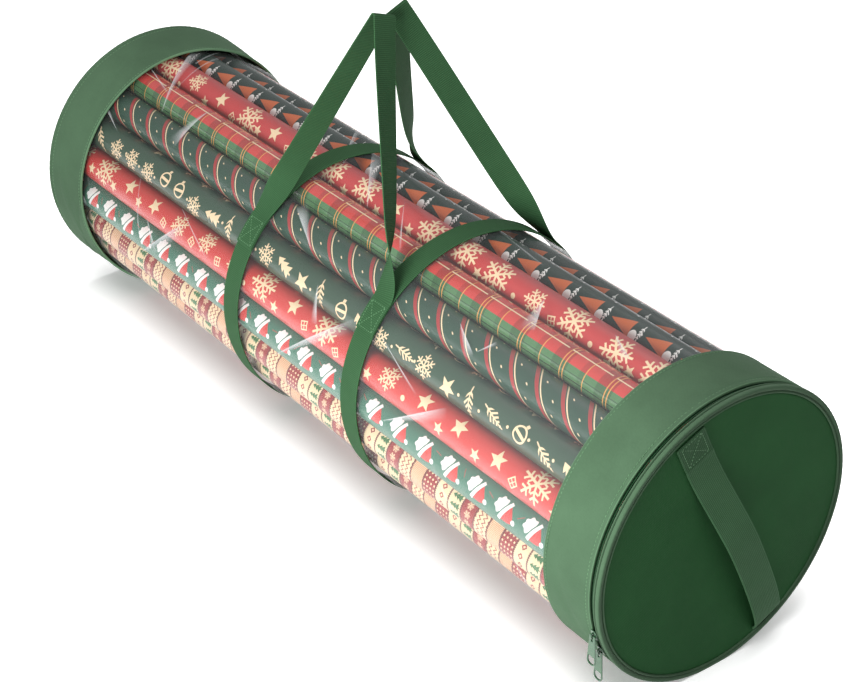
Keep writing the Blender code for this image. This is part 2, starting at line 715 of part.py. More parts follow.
def make_webbing(axis):
    """The bands round the tube, the sewn tabs on them and the two carry handles."""
    look = material("webbing", WEBBING_GREEN, 0.8)
    bands = (("rear", REAR_BAND_X), ("front", FRONT_BAND_X))
    half = WEBBING_WIDTH / 2
    tab_sweep = TAB_LENGTH / TAB_RADIUS
    for name, x in bands:
        turned_sheet(f"{name}_band", axis, x - half, x + half, BAND_RADIUS, WEBBING_THICKNESS, look)
    for side_name, start in (("near", math.pi - TAB_ANGLE), ("far", TAB_ANGLE - tab_sweep)):
        for name, x in bands:
            turned_sheet(
                f"handle_tab_{side_name}_{name}",
                axis,
                x - half,
                x + half,
                TAB_RADIUS,
                WEBBING_THICKNESS,
                look,
                start=start,
                sweep=tab_sweep,
                steps=TAB_STEPS,
            )
    seam_radius = TAB_RADIUS + WEBBING_THICKNESS + CLEARANCE
    near_seam = empty("near_handle_seam", Matrix.Translation(round_place(math.pi - TAB_ANGLE, seam_radius)), axis)
    far_seam = empty("far_handle_seam", Matrix.Translation(round_place(TAB_ANGLE, seam_radius)), axis)
    near_peak = Vector((NEAR_PEAK_X, NEAR_PEAK_Y, AXIS_Z + PEAK_HEIGHT))
    far_peak = Vector((FAR_PEAK_X, FAR_PEAK_Y, AXIS_Z + PEAK_HEIGHT - FAR_PEAK_DROP))
    carry_handle("carry_handle_near", -1, near_peak, near_seam)
    carry_handle("carry_handle_far", 1, far_peak, far_seam)


def roll_radius():
    """The radius at which the rolls just fill a ring inside the hoops."""
    reach = HOOP_BORE * FACET_SHARE - CLEARANCE
    half_pitch = math.sin(math.pi / ROLL_COUNT)
    radius = (reach * half_pitch - CLEARANCE / 2) / (1 + half_pitch)
    return radius, reach - radius


def make_rolls(axis):
    """The rolls of wrap, in a ring against the wall, with the middle left free."""
    radius, ring = roll_radius()
    back = BASE_BOARD_X + BOARD_THICKNESS + ROLL_END_GAP
    front = back + ROLL_LENGTH
    bore = radius - ROLL_WALL
    outline = ((front, radius), (back, radius), (back, bore), (front, bore))
    for number in range(ROLL_COUNT):
        angle = FIRST_ROLL_ANGLE + 2 * math.pi * number / ROLL_COUNT
        place = Matrix.Translation(round_place(angle, ring)) @ AXIS_TURN
        colour = (number + 1) % ROLL_COUNT % len(ROLL_COLOURS)
        look = material(f"wrap_{colour + 1}", ROLL_COLOURS[colour], 0.45)
        turned(f"wrap_roll_{number + 1:02d}", axis, outline, look, steps=ROLL_STEPS, matrix=place)


def main():
    """Build the organizer."""
    axis = empty("bag_axis", Matrix.Translation((0, 0, AXIS_Z)))
    hinge_place = round_place(HINGE_ANGLE, OUTER_RADIUS + CLEARANCE, PIPING_BACK_X - CLEARANCE / 2)
    hinge = empty("lid_hinge_axis", Matrix.Translation(hinge_place), axis)
    cutter = floor_cutter()
    make_body(axis, cutter)
    make_lid(hinge, cutter)
    make_zip(axis, hinge)
    make_sliders(axis)
    make_lid_handle(hinge)
    make_webbing(axis)
    make_rolls(axis)


main()
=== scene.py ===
"""Gift wrap organizer: cloth, clear sheet, webbing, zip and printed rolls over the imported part."""

import math
from functools import partialmethod

import bpy
import numpy as np
from mathutils import Matrix, Vector


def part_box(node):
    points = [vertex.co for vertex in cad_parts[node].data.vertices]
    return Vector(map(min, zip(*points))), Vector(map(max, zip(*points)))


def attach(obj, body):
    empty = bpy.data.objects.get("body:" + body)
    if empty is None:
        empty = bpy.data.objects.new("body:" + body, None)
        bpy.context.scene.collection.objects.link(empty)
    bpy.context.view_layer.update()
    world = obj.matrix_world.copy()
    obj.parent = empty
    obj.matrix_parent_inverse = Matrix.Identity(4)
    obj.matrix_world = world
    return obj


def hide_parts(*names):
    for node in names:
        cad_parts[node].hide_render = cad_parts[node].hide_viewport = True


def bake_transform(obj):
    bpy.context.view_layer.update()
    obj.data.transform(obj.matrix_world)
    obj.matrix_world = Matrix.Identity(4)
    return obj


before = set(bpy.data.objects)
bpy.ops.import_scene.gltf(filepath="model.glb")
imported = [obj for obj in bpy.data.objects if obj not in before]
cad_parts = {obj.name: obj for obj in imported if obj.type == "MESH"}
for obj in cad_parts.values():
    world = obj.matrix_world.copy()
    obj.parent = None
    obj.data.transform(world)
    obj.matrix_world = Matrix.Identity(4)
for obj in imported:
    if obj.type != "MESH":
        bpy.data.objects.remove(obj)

bl_info = {
    "name": "Gift wrap organizer",
    "version": (1, 0, 0),
    "blender": (4, 5, 0),
    "location": "3D View > Sidebar > Organizer",
    "description": "Dresses a round gift wrap organizer with its cloth, webbing, zip and rolls",
    "category": "Object",
}

MM = 0.001
TURN = 2 * math.pi


def middle_x(box):
    """The middle of a box along the bag."""
    return (box[0].x + box[1].x) / 2


def span_x(box):
    """The size of a box along the bag."""
    return box[1].x - box[0].x


def box_radius(box):
    """The radius of the ring or disc that fills a box."""
    return (box[1].y - box[0].y) / 2


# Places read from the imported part
FRONT_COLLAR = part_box("front_collar")
REAR_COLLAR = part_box("rear_collar")
BASE_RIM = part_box("base_binding")
BASE_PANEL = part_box("base_panel")
LID_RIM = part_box("lid_binding")
LID_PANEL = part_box("lid_panel")
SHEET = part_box("clear_tube")
REAR_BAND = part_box("rear_band")
FRONT_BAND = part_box("front_band")
COLLAR_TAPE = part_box("collar_zip_tape")
LID_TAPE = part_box("lid_zip_tape")
COLLAR_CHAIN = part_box("collar_zip_chain")
LID_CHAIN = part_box("lid_zip_chain")
HINGE_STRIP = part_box("lid_hinge_strip")
RADIUS = box_radius(FRONT_COLLAR)
AXIS_Z = FRONT_COLLAR[1].z - RADIUS
AXIS = np.array((0, 0, AXIS_Z))
SHEET_RADIUS = box_radius(SHEET)
BAND_RADIUS = box_radius(REAR_BAND)
ROLL_RADIUS = box_radius(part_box("wrap_roll_01"))
CHAIN_X = (COLLAR_CHAIN[1].x + LID_CHAIN[0].x) / 2

# Sizes that the cloth, the zip and the webbing's route share with the part
SEWN_GAP = 0.3 * MM
COLLAR_BORE = SHEET_RADIUS + SEWN_GAP
RIM_BORE = RADIUS - 7.5 * MM
PANEL_THICKNESS = 1.1 * MM
DISC_TUCK = 0.7 * MM
SHEET_THICKNESS = 0.5 * MM
SHEET_RECESS = 0.02 * MM
STITCH_SINK = 0.35 * MM
HEM = 4 * MM
CHAIN_RADIUS = SHEET_RADIUS - 0.35 * MM
STRAP_WIDTH = span_x(REAR_BAND)
STRAP_THICKNESS = 1.4 * MM
REAR_BAND_X, FRONT_BAND_X = middle_x(REAR_BAND), middle_x(FRONT_BAND)
TAB_ANGLE = math.radians(45)
TAB_LENGTH = 36 * MM
TAB_RADIUS = BAND_RADIUS + SEWN_GAP
NEAR_PEAK = np.array((7 * MM, -26 * MM, AXIS_Z + 361 * MM))
FAR_PEAK = np.array((-7 * MM, -1 * MM, AXIS_Z + 358 * MM))
PEAK_RISE = 361 * MM
FOLD_RADIUS = 2.5 * MM
LEG_LEAD = 30 * MM
LEG_TAIL = 90 * MM
TWIST_REACH = 0.16
TWIST_EARLY = 0.6
LID_STRAP_WIDTH = 35 * MM
LID_STRAP_OFFSET = 6 * MM
LID_STRAP_THICKNESS = 1.6 * MM
LID_STRAP_TILT = math.radians(25.5)
LID_STRAP_BOW = 16.5 * MM
LID_STRAP_RISE = (0.11, 0.56)
LID_STRAP_FALL = (0.60, 0.988)
HINGE_ANGLE = math.radians(25)
HINGE_SWEEP = math.radians(12)
SLIDER_ANGLES = (math.radians(198), math.radians(207))
BAR_RADIUS = RADIUS + 2.85 * MM
SLIDER_NOSE = 0.16
PULL_THICKNESS, PULL_EDGE = 1.6 * MM, 0.3 * MM

# How far the closed end's soft cloth spreads and rises, and the share of it at the collar's sewn edge
REAR_SPREAD = 4 * MM
REAR_RISE = 2.5 * MM
REAR_EDGE_SHARE = 0.3

# The rolls: the first one's place round the bag, each one's paper, those turned to be seen from behind,
# how far the knitted paper is shifted along, and the paper's length once round a roll
ROLL_COUNT = 21
FIRST_ROLL = math.radians(94.2)
PRINT_ORDER = (1, 2, 3, 4, 5, 6, 7, 7, 4, 1, 2, 3, 5, 6, 4, 1, 2, 3, 5, 0, 0)
TURNED_ROLLS = range(8, 19)
SHOWN_ANGLE = math.radians(140)
KNIT_SLOT, KNIT_SLIDE = 7, 100 * MM
ROUND = 120.9 * MM

# Creases in the collars: degrees round the bag, slope, mm from the collar's middle, half width in mm, depth
FRONT_CREASES = (
    (118, 0.05, -6, 9, -0.7),
    (104, -0.07, 2, 7, 0.5),
    (150, -0.05, 4, 10, -0.6),
    (196, 0.06, 0, 8, -0.7),
)
REAR_CREASES = (
    (205, -0.055, 6, 4, -1.0),
    (214, -0.075, -8, 3, 0.8),
    (222, -0.06, 18, 5, -0.9),
    (185, 0.04, -2, 5, 0.6),
    (120, 0.05, 4, 7, -0.5),
    (240, 0.05, -5, 5, -0.8),
)

# Painted glints where folds would catch the light: mm along and degrees round of the tip, the same of the
# end, half width in mm
GLINTS = (
    (-369, 122, -459, 78, 9),
    (-383, 112, -433, 72, 1.6),
    (-311, 109, -318, 131, 10),
    (-416, 140, -463, 133, 2.5),
    (-85, 97, -180, 62, 4),
    (-2, 107, -95, 75, 9),
    (-19, 134, -74, 121, 8),
    (-28, 184, 97, 149, 8),
    (263, 98, 283, 114, 10),
    (256, 131, 270, 124, 2.5),
    (-314, 184, -222, 159, 9),
    (-230, 181, -217, 194, 1.6),
    (170, 176, 262, 156, 7),
)

# The camera that the photograph fits
CAMERA_PLACE = (1.5097, -1.0984, 1.2645)
CAMERA_RIGHT = (0.5994, 0.8005, 0.0)
CAMERA_UP = (-0.4184, 0.3133, 0.8526)
CAMERA_LENS = 83.08
CAMERA_SENSOR = 36
SKY_LIGHT, SKY_SEEN = 0.36, 0.85
FLOOR_REACH = 9
LIGHT_AIM = Vector((0, 0, 0.15))


# The user's sizes and colours


def colour_property(name, description, default):
    """A colour setting with linear red, green and blue."""
    return bpy.props.FloatVectorProperty(
        name=name, description=description, default=default, subtype="COLOR", size=3, min=0, max=1
    )


def length_property(name, description, default):
    """A length setting in metres."""
    return bpy.props.FloatProperty(name=name, description=description, default=default, unit="LENGTH", min=0)


class OrganizerSizes(bpy.types.PropertyGroup):
    """Sizes of the cloth, thread and zip details."""

    weave_pitch: length_property("Weave pitch", "Spacing of the threads in the cloth", 0.9 * MM)
    rib_pitch: length_property("Rib pitch", "Spacing of the ribs across the webbing", 2.0 * MM)
    stitch_length: length_property("Stitch length", "Length of one stitch", 3.2 * MM)
    stitch_pitch: length_property("Stitch pitch", "Distance from one stitch to the next", 4.2 * MM)
    thread_radius: length_property("Thread radius", "Half the thickness of the sewing thread", 0.3 * MM)
    tooth_pitch: length_property("Tooth pitch", "Spacing of the zip's teeth", 2.4 * MM)
    crease_depth: length_property("Crease depth", "Depth of the creases in the collars", 1.5 * MM)
    dent_depth: length_property("Dent depth", "Depth of the dents in the clear sheet", 0.9 * MM)


class OrganizerColours(bpy.types.PropertyGroup):
    """Colours of the cloth, webbing, zip and paper."""

    cloth: colour_property("Cloth", "Collars and closed end", (0.083, 0.154, 0.088))
    # The lid's face is the collars' cloth set much darker: painted shade.
    lid: colour_property("Lid", "Cloth of the lid's face", (0.022, 0.098, 0.030))
    webbing: colour_property("Webbing", "Bands and carry handles", (0.048, 0.127, 0.055))
    lid_webbing: colour_property("Lid webbing", "Strap across the lid", (0.081, 0.192, 0.092))
    thread: colour_property("Thread", "Sewing thread", (0.16, 0.33, 0.17))
    zip_tape: colour_property("Zip tape", "Woven tape of the zip", (0.018, 0.065, 0.026))
    zip_metal: colour_property("Sliders", "Painted sliders and pulls", (0.045, 0.125, 0.062))
    sheet: colour_property("Clear sheet", "Tint of the clear sheet", (0.93, 0.96, 0.97))
    red: colour_property("Red print", "Red paper", (0.53, 0.055, 0.056))
    bright_red: colour_property("Bright red print", "Red of the plaid and the caps", (0.60, 0.056, 0.048))
    pine: colour_property("Pine print", "Grey green paper", (0.036, 0.078, 0.048))
    forest: colour_property("Forest print", "Darkest green paper", (0.014, 0.034, 0.026))
    teal: colour_property("Teal print", "Blue green paper", (0.052, 0.175, 0.115))
    cream: colour_property("Cream print", "Cream motifs", (0.86, 0.66, 0.42))
    white: colour_property("White print", "White motifs and paper edges", (0.88, 0.87, 0.84))
    orange: colour_property("Orange print", "Orange motifs", (0.60, 0.14, 0.045))
    gold: colour_property("Gold print", "Gold lines of the plaid", (0.78, 0.36, 0.10))
    core: colour_property("Core", "Cardboard cores", (0.36, 0.24, 0.14))
    floor: colour_property("Floor", "The studio's floor", (0.90, 0.90, 0.90))


def sizes():
    """The sizes set in the panel."""
    return bpy.context.scene.organizer_sizes


def hue(name, share=1):
    """A colour set in the panel, made darker or lighter by a share."""
    return tuple(part * share for part in getattr(bpy.context.scene.organizer_colours, name))


# Meshes from grids of points


def link(name, data):
    """A new object in the scene."""
    made = bpy.data.objects.new(name, data)
    bpy.context.scene.collection.objects.link(made)
    return made


class Skin:
    """Grids of points gathered into one mesh."""

    def __init__(self):
        self.points, self.faces, self.count = [], [], 0

    def grid(self, points, uv=0.0, slots=0, ring=False):
        """Join a grid of (rows, columns, 3) points, or a stack of such grids, with four-sided faces.

        Each row is a closed line. A ring joins its last row to its first; otherwise a fan caps each end.
        The faces are turned round where the volume that they enclose comes out negative.
        """
        points = np.asarray(points, float)
        points = points[None] if points.ndim == 3 else points
        many, rows, columns = points.shape[:3]
        high = rows if ring else rows - 1
        i, j = np.indices((high, columns))
        below, beside = (i + 1) % rows, (j + 1) % columns
        corners = ((i, j), (below, j), (below, beside), (i, beside))
        quads = np.stack([row * columns + column for row, column in corners], -1).reshape(-1, 4)
        uv = np.broadcast_to(uv, (high + 1, columns + 1, 2))
        quad_uv = np.stack([uv[:-1, :-1], uv[1:, :-1], uv[1:, 1:], uv[:-1, 1:]], 2).reshape(-1, 4, 2)
        slots = np.broadcast_to(slots, (high, columns)).ravel()
        flat = points.reshape(many, -1, 3)
        kinds = [(quads, quad_uv, slots)]
        if not ring:
            k, last = np.arange(columns), (rows - 1) * columns
            after, hub = (k + 1) % columns, np.full(columns, rows * columns)
            fans = [np.stack([hub, k, after], -1), np.stack([hub + 1, last + after, last + k], -1)]
            near, far = uv[[0, -1], :-1], uv[[0, -1], 1:]
            fan_uv = np.stack([(near + far) / 2, near, far], 2).reshape(-1, 3, 2)
            kinds.append((np.concatenate(fans), fan_uv, np.full(2 * columns, slots[0])))
            flat = np.concatenate([flat, points[:, [0, -1]].mean(2)], 1)
        volume = 0
        for faces, _, _ in kinds:
            place = flat[0][faces]
            for n in range(1, faces.shape[1] - 1):
                volume += (np.cross(place[:, 0], place[:, n]) * place[:, n + 1]).sum()
        way = -1 if volume < 0 else 1
        step = (np.arange(many) * flat.shape[1] + self.count)[:, None, None]
        for faces, uvs, numbers in kinds:
            faces = (faces[None, :, ::way] + step).reshape(-1, faces.shape[1])
            self.faces.append((faces, np.tile(uvs[:, ::way], (many, 1, 1)), np.tile(numbers, many)))
        self.points.append(flat.reshape(-1, 3))
        self.count += flat.shape[0] * flat.shape[1]
        return self

    def build(self, name, looks, body, slot=None, replaced=(), blend=None):
        """Make the mesh object, put it on its body or bake it in place, and hide the nodes that it replaces.
        """
        kinds = sorted(self.faces, key=lambda kind: -kind[0].shape[1])
        corners, uvs, slots = (np.concatenate([kind[n].ravel() for kind in kinds]) for n in range(3))
        sides = np.concatenate([np.full(len(faces), faces.shape[1]) for faces, _, _ in kinds])
        starts = np.concatenate([[0], np.cumsum(sides)[:-1]])
        points = np.concatenate(self.points)
        mesh = bpy.data.meshes.new(name)
        mesh.vertices.add(len(points))
        mesh.vertices.foreach_set("co", points.astype(np.float32).ravel())
        mesh.loops.add(len(corners))
        mesh.loops.foreach_set("vertex_index", corners.astype(np.int32))
        mesh.polygons.add(len(sides))
        mesh.polygons.foreach_set("loop_start", starts.astype(np.int32))
        mesh.polygons.foreach_set("material_index", slots.astype(np.int32))
        mesh.uv_layers.new(name="cloth").data.foreach_set("uv", uvs.astype(np.float32))
        mesh.update(calc_edges=True)
        mesh.validate()
        mesh.shade_smooth()
        for look in looks:
            mesh.materials.append(look)
        return settle(link(name, mesh), body, replaced, blend)


def settle(made, body, replaced=(), blend=None):
    """Put a finished piece on its body, or bake it in place in the world, and hide the nodes that it
    replaces.
    """
    if blend is None:
        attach(made, body)
    else:
        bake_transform(made)
    if replaced:
        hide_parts(*replaced)
    return made


def together(*parts):
    """Arrays stretched to one shape and stacked as the parts of points."""
    return np.stack(np.broadcast_arrays(*parts), -1)


def on_ring(angle, radius, x):
    """Points round the bag: x, radius times cosine of the angle, axis height plus radius times sine."""
    return together(x, radius * np.cos(angle), AXIS_Z + radius * np.sin(angle))


def radial(angle):
    """Directions away from the bag's axis."""
    return on_ring(angle, 1, 0) - AXIS


def rest_on_floor(points):
    """Flatten what would lie below the floor."""
    points[..., 2] = np.maximum(points[..., 2], 0)
    return points


def swollen(points):
    """Spread and raise the closed end's cloth, by a smooth step from the collar's sewn edge to the rim."""
    reach = (REAR_COLLAR[1].x - points[..., 0]) / span_x(REAR_COLLAR)
    share = REAR_EDGE_SHARE + (1 - REAR_EDGE_SHARE) * smooth(reach)
    grown = AXIS + (points - AXIS) * (1 + REAR_SPREAD / RADIUS * share[..., None] * np.array((0, 1, 1)))
    grown[..., 2] += REAR_RISE * share
    return rest_on_floor(grown)


def section(width, thickness, corner, across=8, turn=3):
    """A closed outline: a straight run along each face, and a quarter circle at each of the four corners.

    Returns the places along the width and through the thickness.
    """
    half, rise = width / 2 - corner, thickness / 2 - corner
    run = np.linspace(-half, half, across + 1)
    falling = np.linspace(math.pi / 2, 0, turn + 1)[1:]
    along, through = [], []
    for side in (1, -1):
        along += [side * run]
        through += [np.full(across + 1, side * thickness / 2)]
        for quarter, face in ((falling, side), (falling[::-1], -side)):
            along += [side * (half + corner * np.cos(quarter))]
            through += [face * (rise + corner * np.sin(quarter))]
    return np.concatenate(along), np.concatenate(through)


def lengths_along(points):
    """The length from the first point to each, along the line that joins them."""
    return np.append(0, np.cumsum(np.linalg.norm(np.diff(points, axis=0), axis=1)))


def strip_uv(lengths, across):
    """Lengths along and across a strip, in metres, with the outline's first place again at its end."""
    return together(lengths[:, None], np.append(across, across[0])[None])


def ring_uv(angles, across, radius):
    """Lengths along and across a ring, in metres, with the last angle a full turn after the first."""
    return strip_uv(np.append(angles, angles[0] + TURN) * radius, across)


def ripple(angle, x, waves, reach, seed):
    """A sum of soft waves over angle and length, each a whole number of times round, from about -1 to 1."""
    source = np.random.default_rng(seed)
    total = 0
    for _ in range(waves):
        turns = source.integers(1, reach)
        slope = source.uniform(-22, 22)
        total = total + np.cos(turns * angle + slope * x + source.uniform(0, TURN))
    return total / math.sqrt(waves) * 0.7


def bell(value, middle, spread):
    """A bump of height 1 at its middle that falls off on both sides."""
    return np.exp(-(((value - middle) / spread) ** 2))


def smooth(value):
    """Smooth step from 0 to 1."""
    value = np.clip(value, 0, 1)
    return value * value * (3 - 2 * value)


def unit(vectors):
    """Vectors made one long."""
    return vectors / np.linalg.norm(vectors, axis=-1, keepdims=True)


def threads(starts, ends, normals, radius):
    """Stitches as small spindles, whose radius swells between their ends, which dip into the cloth."""
    share = np.linspace(0, 1, 6)
    swell = np.array([0.25, 0.85, 1, 1, 0.85, 0.25])
    turn = np.linspace(0, TURN, 6, endpoint=False)[:, None]
    along = unit(ends - starts)
    side = unit(np.cross(along, normals))
    up = np.cross(side, along)
    middle = starts[:, None] + (ends - starts)[:, None] * share[:, None]
    middle = middle + up[:, None] * (radius * (swell - 1.1))[:, None]
    out = side[:, None] * np.cos(turn) + up[:, None] * np.sin(turn)
    return middle[:, :, None] + out[:, None] * (radius * swell)[:, None, None]


def ring_threads(angles, radius, x, normals=None):
    """Stitches round the bag at one place along it, each with its middle at an angle."""
    half = sizes().stitch_length / radius / 2
    starts, ends = on_ring(angles - half, radius, x), on_ring(angles + half, radius, x)
    return threads(starts, ends, radial(angles) if normals is None else normals, sizes().thread_radius)


def stitch_angles(radius):
    """The middle angles of the stitches on a ring."""
    count = int(TURN * radius / sizes().stitch_pitch)
    return (np.arange(count) + 0.5) * TURN / count


# Materials from fields


class Field:
    """A number or colour that varies over a surface."""

    def __init__(self, paint, socket):
        self.paint, self.socket = paint, socket

    def maths(self, operation, *others):
        return self.paint.maths(operation, self, *others)

    __add__ = __radd__ = partialmethod(maths, "ADD")
    __sub__ = partialmethod(maths, "SUBTRACT")
    __mul__ = __rmul__ = partialmethod(maths, "MULTIPLY")
    __truediv__ = partialmethod(maths, "DIVIDE")
    __lt__ = partialmethod(maths, "LESS_THAN")
    __gt__ = partialmethod(maths, "GREATER_THAN")
    __abs__ = partialmethod(maths, "ABSOLUTE")
    sin = partialmethod(maths, "SINE")
    cos = partialmethod(maths, "COSINE")
    floor = partialmethod(maths, "FLOOR")
    fract = partialmethod(maths, "FRACT")
    power = partialmethod(maths, "POWER")
    top = partialmethod(maths, "MAXIMUM")
    low = partialmethod(maths, "MINIMUM")

    def __rsub__(self, other):
        return self.paint.maths("SUBTRACT", other, self)

    def clamp(self):
        made = self + 0
        made.socket.node.use_clamp = True
        return made


class Paint:
    """One procedural material and the shader that its fields feed."""

    def __init__(self, name):
        self.material = bpy.data.materials.new(name)
        self.material.use_nodes = True
        self.tree = self.material.node_tree
        self.shader = self.tree.nodes["Principled BSDF"]

    def feed(self, socket, value):
        """Link a field, or set a constant on the socket itself."""
        if isinstance(value, Field):
            self.tree.links.new(value.socket, socket)
        elif socket.type == "RGBA" and len(value) == 3:
            socket.default_value = (*value, 1)
        else:
            socket.default_value = value

    def node(self, kind, inputs=(), output=0, **settings):
        """A new node with its settings and inputs, as the field of one of its outputs."""
        made = self.tree.nodes.new("ShaderNode" + kind)
        for name, value in settings.items():
            setattr(made, name, value)
        for name, value in dict(inputs).items():
            self.feed(made.inputs[name], value)
        return Field(self, made.outputs[output])

    def maths(self, operation, *values):
        """One step of arithmetic."""
        return self.node("Math", enumerate(values), operation=operation)

    def split(self, vector):
        """The three parts of a vector."""
        parts = self.node("SeparateXYZ", {0: vector}).socket.node.outputs
        return [Field(self, part) for part in parts]

    def uv(self):
        """Lengths along and across the piece, in metres."""
        return self.split(self.node("UVMap", uv_map="cloth"))[:2]

    def place(self):
        """The place in the part's own axes."""
        return self.node("TexCoord", output="Object")

    def noise(self, vector, scale, detail=2, roughness=0.5, stretch=None):
        """Cloudy noise around 0.5, which may be drawn out along an axis."""
        if stretch:
            vector = self.node("Mapping", {"Vector": vector, "Scale": stretch})
        inputs = {"Vector": vector, "Scale": scale, "Detail": detail, "Roughness": roughness}
        return self.node("TexNoise", inputs, "Fac")

    def chance(self, x, y, seed):
        """Three numbers from 0 to 1 that belong to a cell."""
        cell = self.node("CombineXYZ", enumerate((x, y, seed)))
        return self.split(self.node("TexWhiteNoise", {"Vector": cell}, "Color", noise_dimensions="3D"))

    def mix(self, share, first, second):
        """The first colour where share is 0, the second where it is 1."""
        return self.node("Mix", {0: share, 6: first, 7: second}, 2, data_type="RGBA")

    def shade(self, colour, amount):
        """A colour made lighter or darker by a factor."""
        return self.node("VectorMath", {0: colour, "Scale": amount}, operation="SCALE")

    def bump(self, height, distance, strength=1.0, under=None):
        """A bump from a height field, over another bump if there is one."""
        inputs = {"Height": height, "Distance": distance, "Strength": strength}
        return self.node("Bump", inputs | ({"Normal": under} if under else {}))

    def finish(self, **settings):
        """Feed the shader's sockets, named with underscores for spaces."""
        for name, value in settings.items():
            self.feed(self.shader.inputs[name.replace("_", " ")], value)
        return self.material


def cloth_look(name, colour, depth=0.25, sheen=0.02, pale_edge=None, gloss=0.1):
    """Plain-woven cloth: over-and-under threads with painted shade where they dip, soft blotches, and slight
    creases.
    """
    paint = Paint(name)
    u, v = paint.uv()
    place = paint.place()
    pitch = sizes().weave_pitch
    warp, weft = (u * (math.pi / pitch)).sin(), (v * (math.pi / pitch)).sin()
    weave = warp * weft
    over = abs(warp).top(abs(weft)) + weave * 0.5
    blotch = paint.noise(place, 9, 4, 0.6)
    fine = paint.noise(place, 420, 2, 0.6)
    crease = paint.noise(place, 26, 3, 0.55, stretch=(0.6, 1, 1))
    # Where the threads dip under each other the cloth is darker: painted shade, drawn from the weave's
    # height.
    tone = 0.50 + over * 0.12 + blotch * 0.74 + fine * 0.18
    base = paint.shade(colour, tone)
    if pale_edge is not None:
        middle, half = pale_edge
        edge = abs(v - middle) > half
        base = paint.mix(edge * 0.35, base, tuple(min(1, part * 3.2) for part in colour))
    normal = paint.bump(over, 0.12 * MM, 0.6)
    normal = paint.bump(crease, 2.2 * MM, depth, normal)
    return paint.finish(
        Base_Color=base,
        Roughness=0.66 + fine * 0.14,
        Specular_IOR_Level=gloss,
        Normal=normal,
        Sheen_Weight=sheen,
        Sheen_Roughness=0.4,
    )


def webbing_look(name, colour, width, basket=False, sewn=0):
    """Ribbed webbing: ribs across, a fine twill between them, painted shade in the dips between them, and
    lighter selvedges.

    A basket weave has rows of small lumps on a slant instead. A sewn end is darker along its first length.
    """
    paint = Paint(name)
    u, v = paint.uv()
    pitch = sizes().rib_pitch
    rib = (u * (TURN / pitch)).sin() * 0.5 + 0.5
    yarn = (v * (TURN / (pitch * 0.72)) + (u * (math.pi / pitch)).sin() * 0.8).sin() * 0.5 + 0.5
    height = rib * 0.65 + yarn * 0.45
    if basket:
        slanted, crossed = (u + v) * (TURN / (pitch * 1.8)), (u - v) * (TURN / (pitch * 1.8))
        height = slanted.sin() * crossed.sin() * 0.62 + 0.5
    place = paint.place()
    blotch = paint.noise(place, 30, 3, 0.6)
    fuzz = paint.noise(place, 900, 2, 0.7)
    selvedge = ((abs(v) - width * 0.455) * (1 / (width * 0.03))).clamp()
    # The dips between ribs, yarns and lumps are darker: painted shade, drawn from the same height as the
    # bumps.
    tone = 0.34 + height * 0.62 + blotch * 0.26 + fuzz * 0.18 + selvedge * 0.2
    if sewn:
        tone = tone * (1 - (u < sewn) * 0.22)
    normal = paint.bump(height + selvedge * 0.6, 0.28 * MM, 0.8)
    normal = paint.bump(blotch, 1.0 * MM, 0.15, normal)
    return paint.finish(
        Base_Color=paint.shade(colour, tone),
        Roughness=0.66 + fuzz * 0.15,
        Normal=normal,
        Specular_IOR_Level=0.12,
    )


def plain_look(name, colour, scale, tone, spread, roughness, detail=2, relief=0, stretch=None):
    """A plain finish: noise shades it by a tone and a spread, and may stand up by a relief in mm."""
    paint = Paint(name)
    cloud = paint.noise(paint.place(), scale, detail, 0.65 if relief else 0.5, stretch)
    normal = {"Normal": paint.bump(cloud, relief * MM, relief)} if relief else {}
    return paint.finish(Base_Color=paint.shade(colour, tone + cloud * spread), Roughness=roughness, **normal)


def thread_look():
    """Twisted sewing thread."""
    return plain_look("sewing thread", hue("thread"), 1800, 0.75, 0.5, 0.55, 1)


def wedge(along, aside, length, half):
    """A slim wedge that widens along its length, crisp on one side and fading on the other."""
    reach, share = along / length + 0.5, aside / half
    inside = (abs(share) < reach) * (reach < 1)
    return inside * (share / reach.top(0.05) * 0.5 + 0.5).clamp() * ((1 - reach) * 3).clamp()


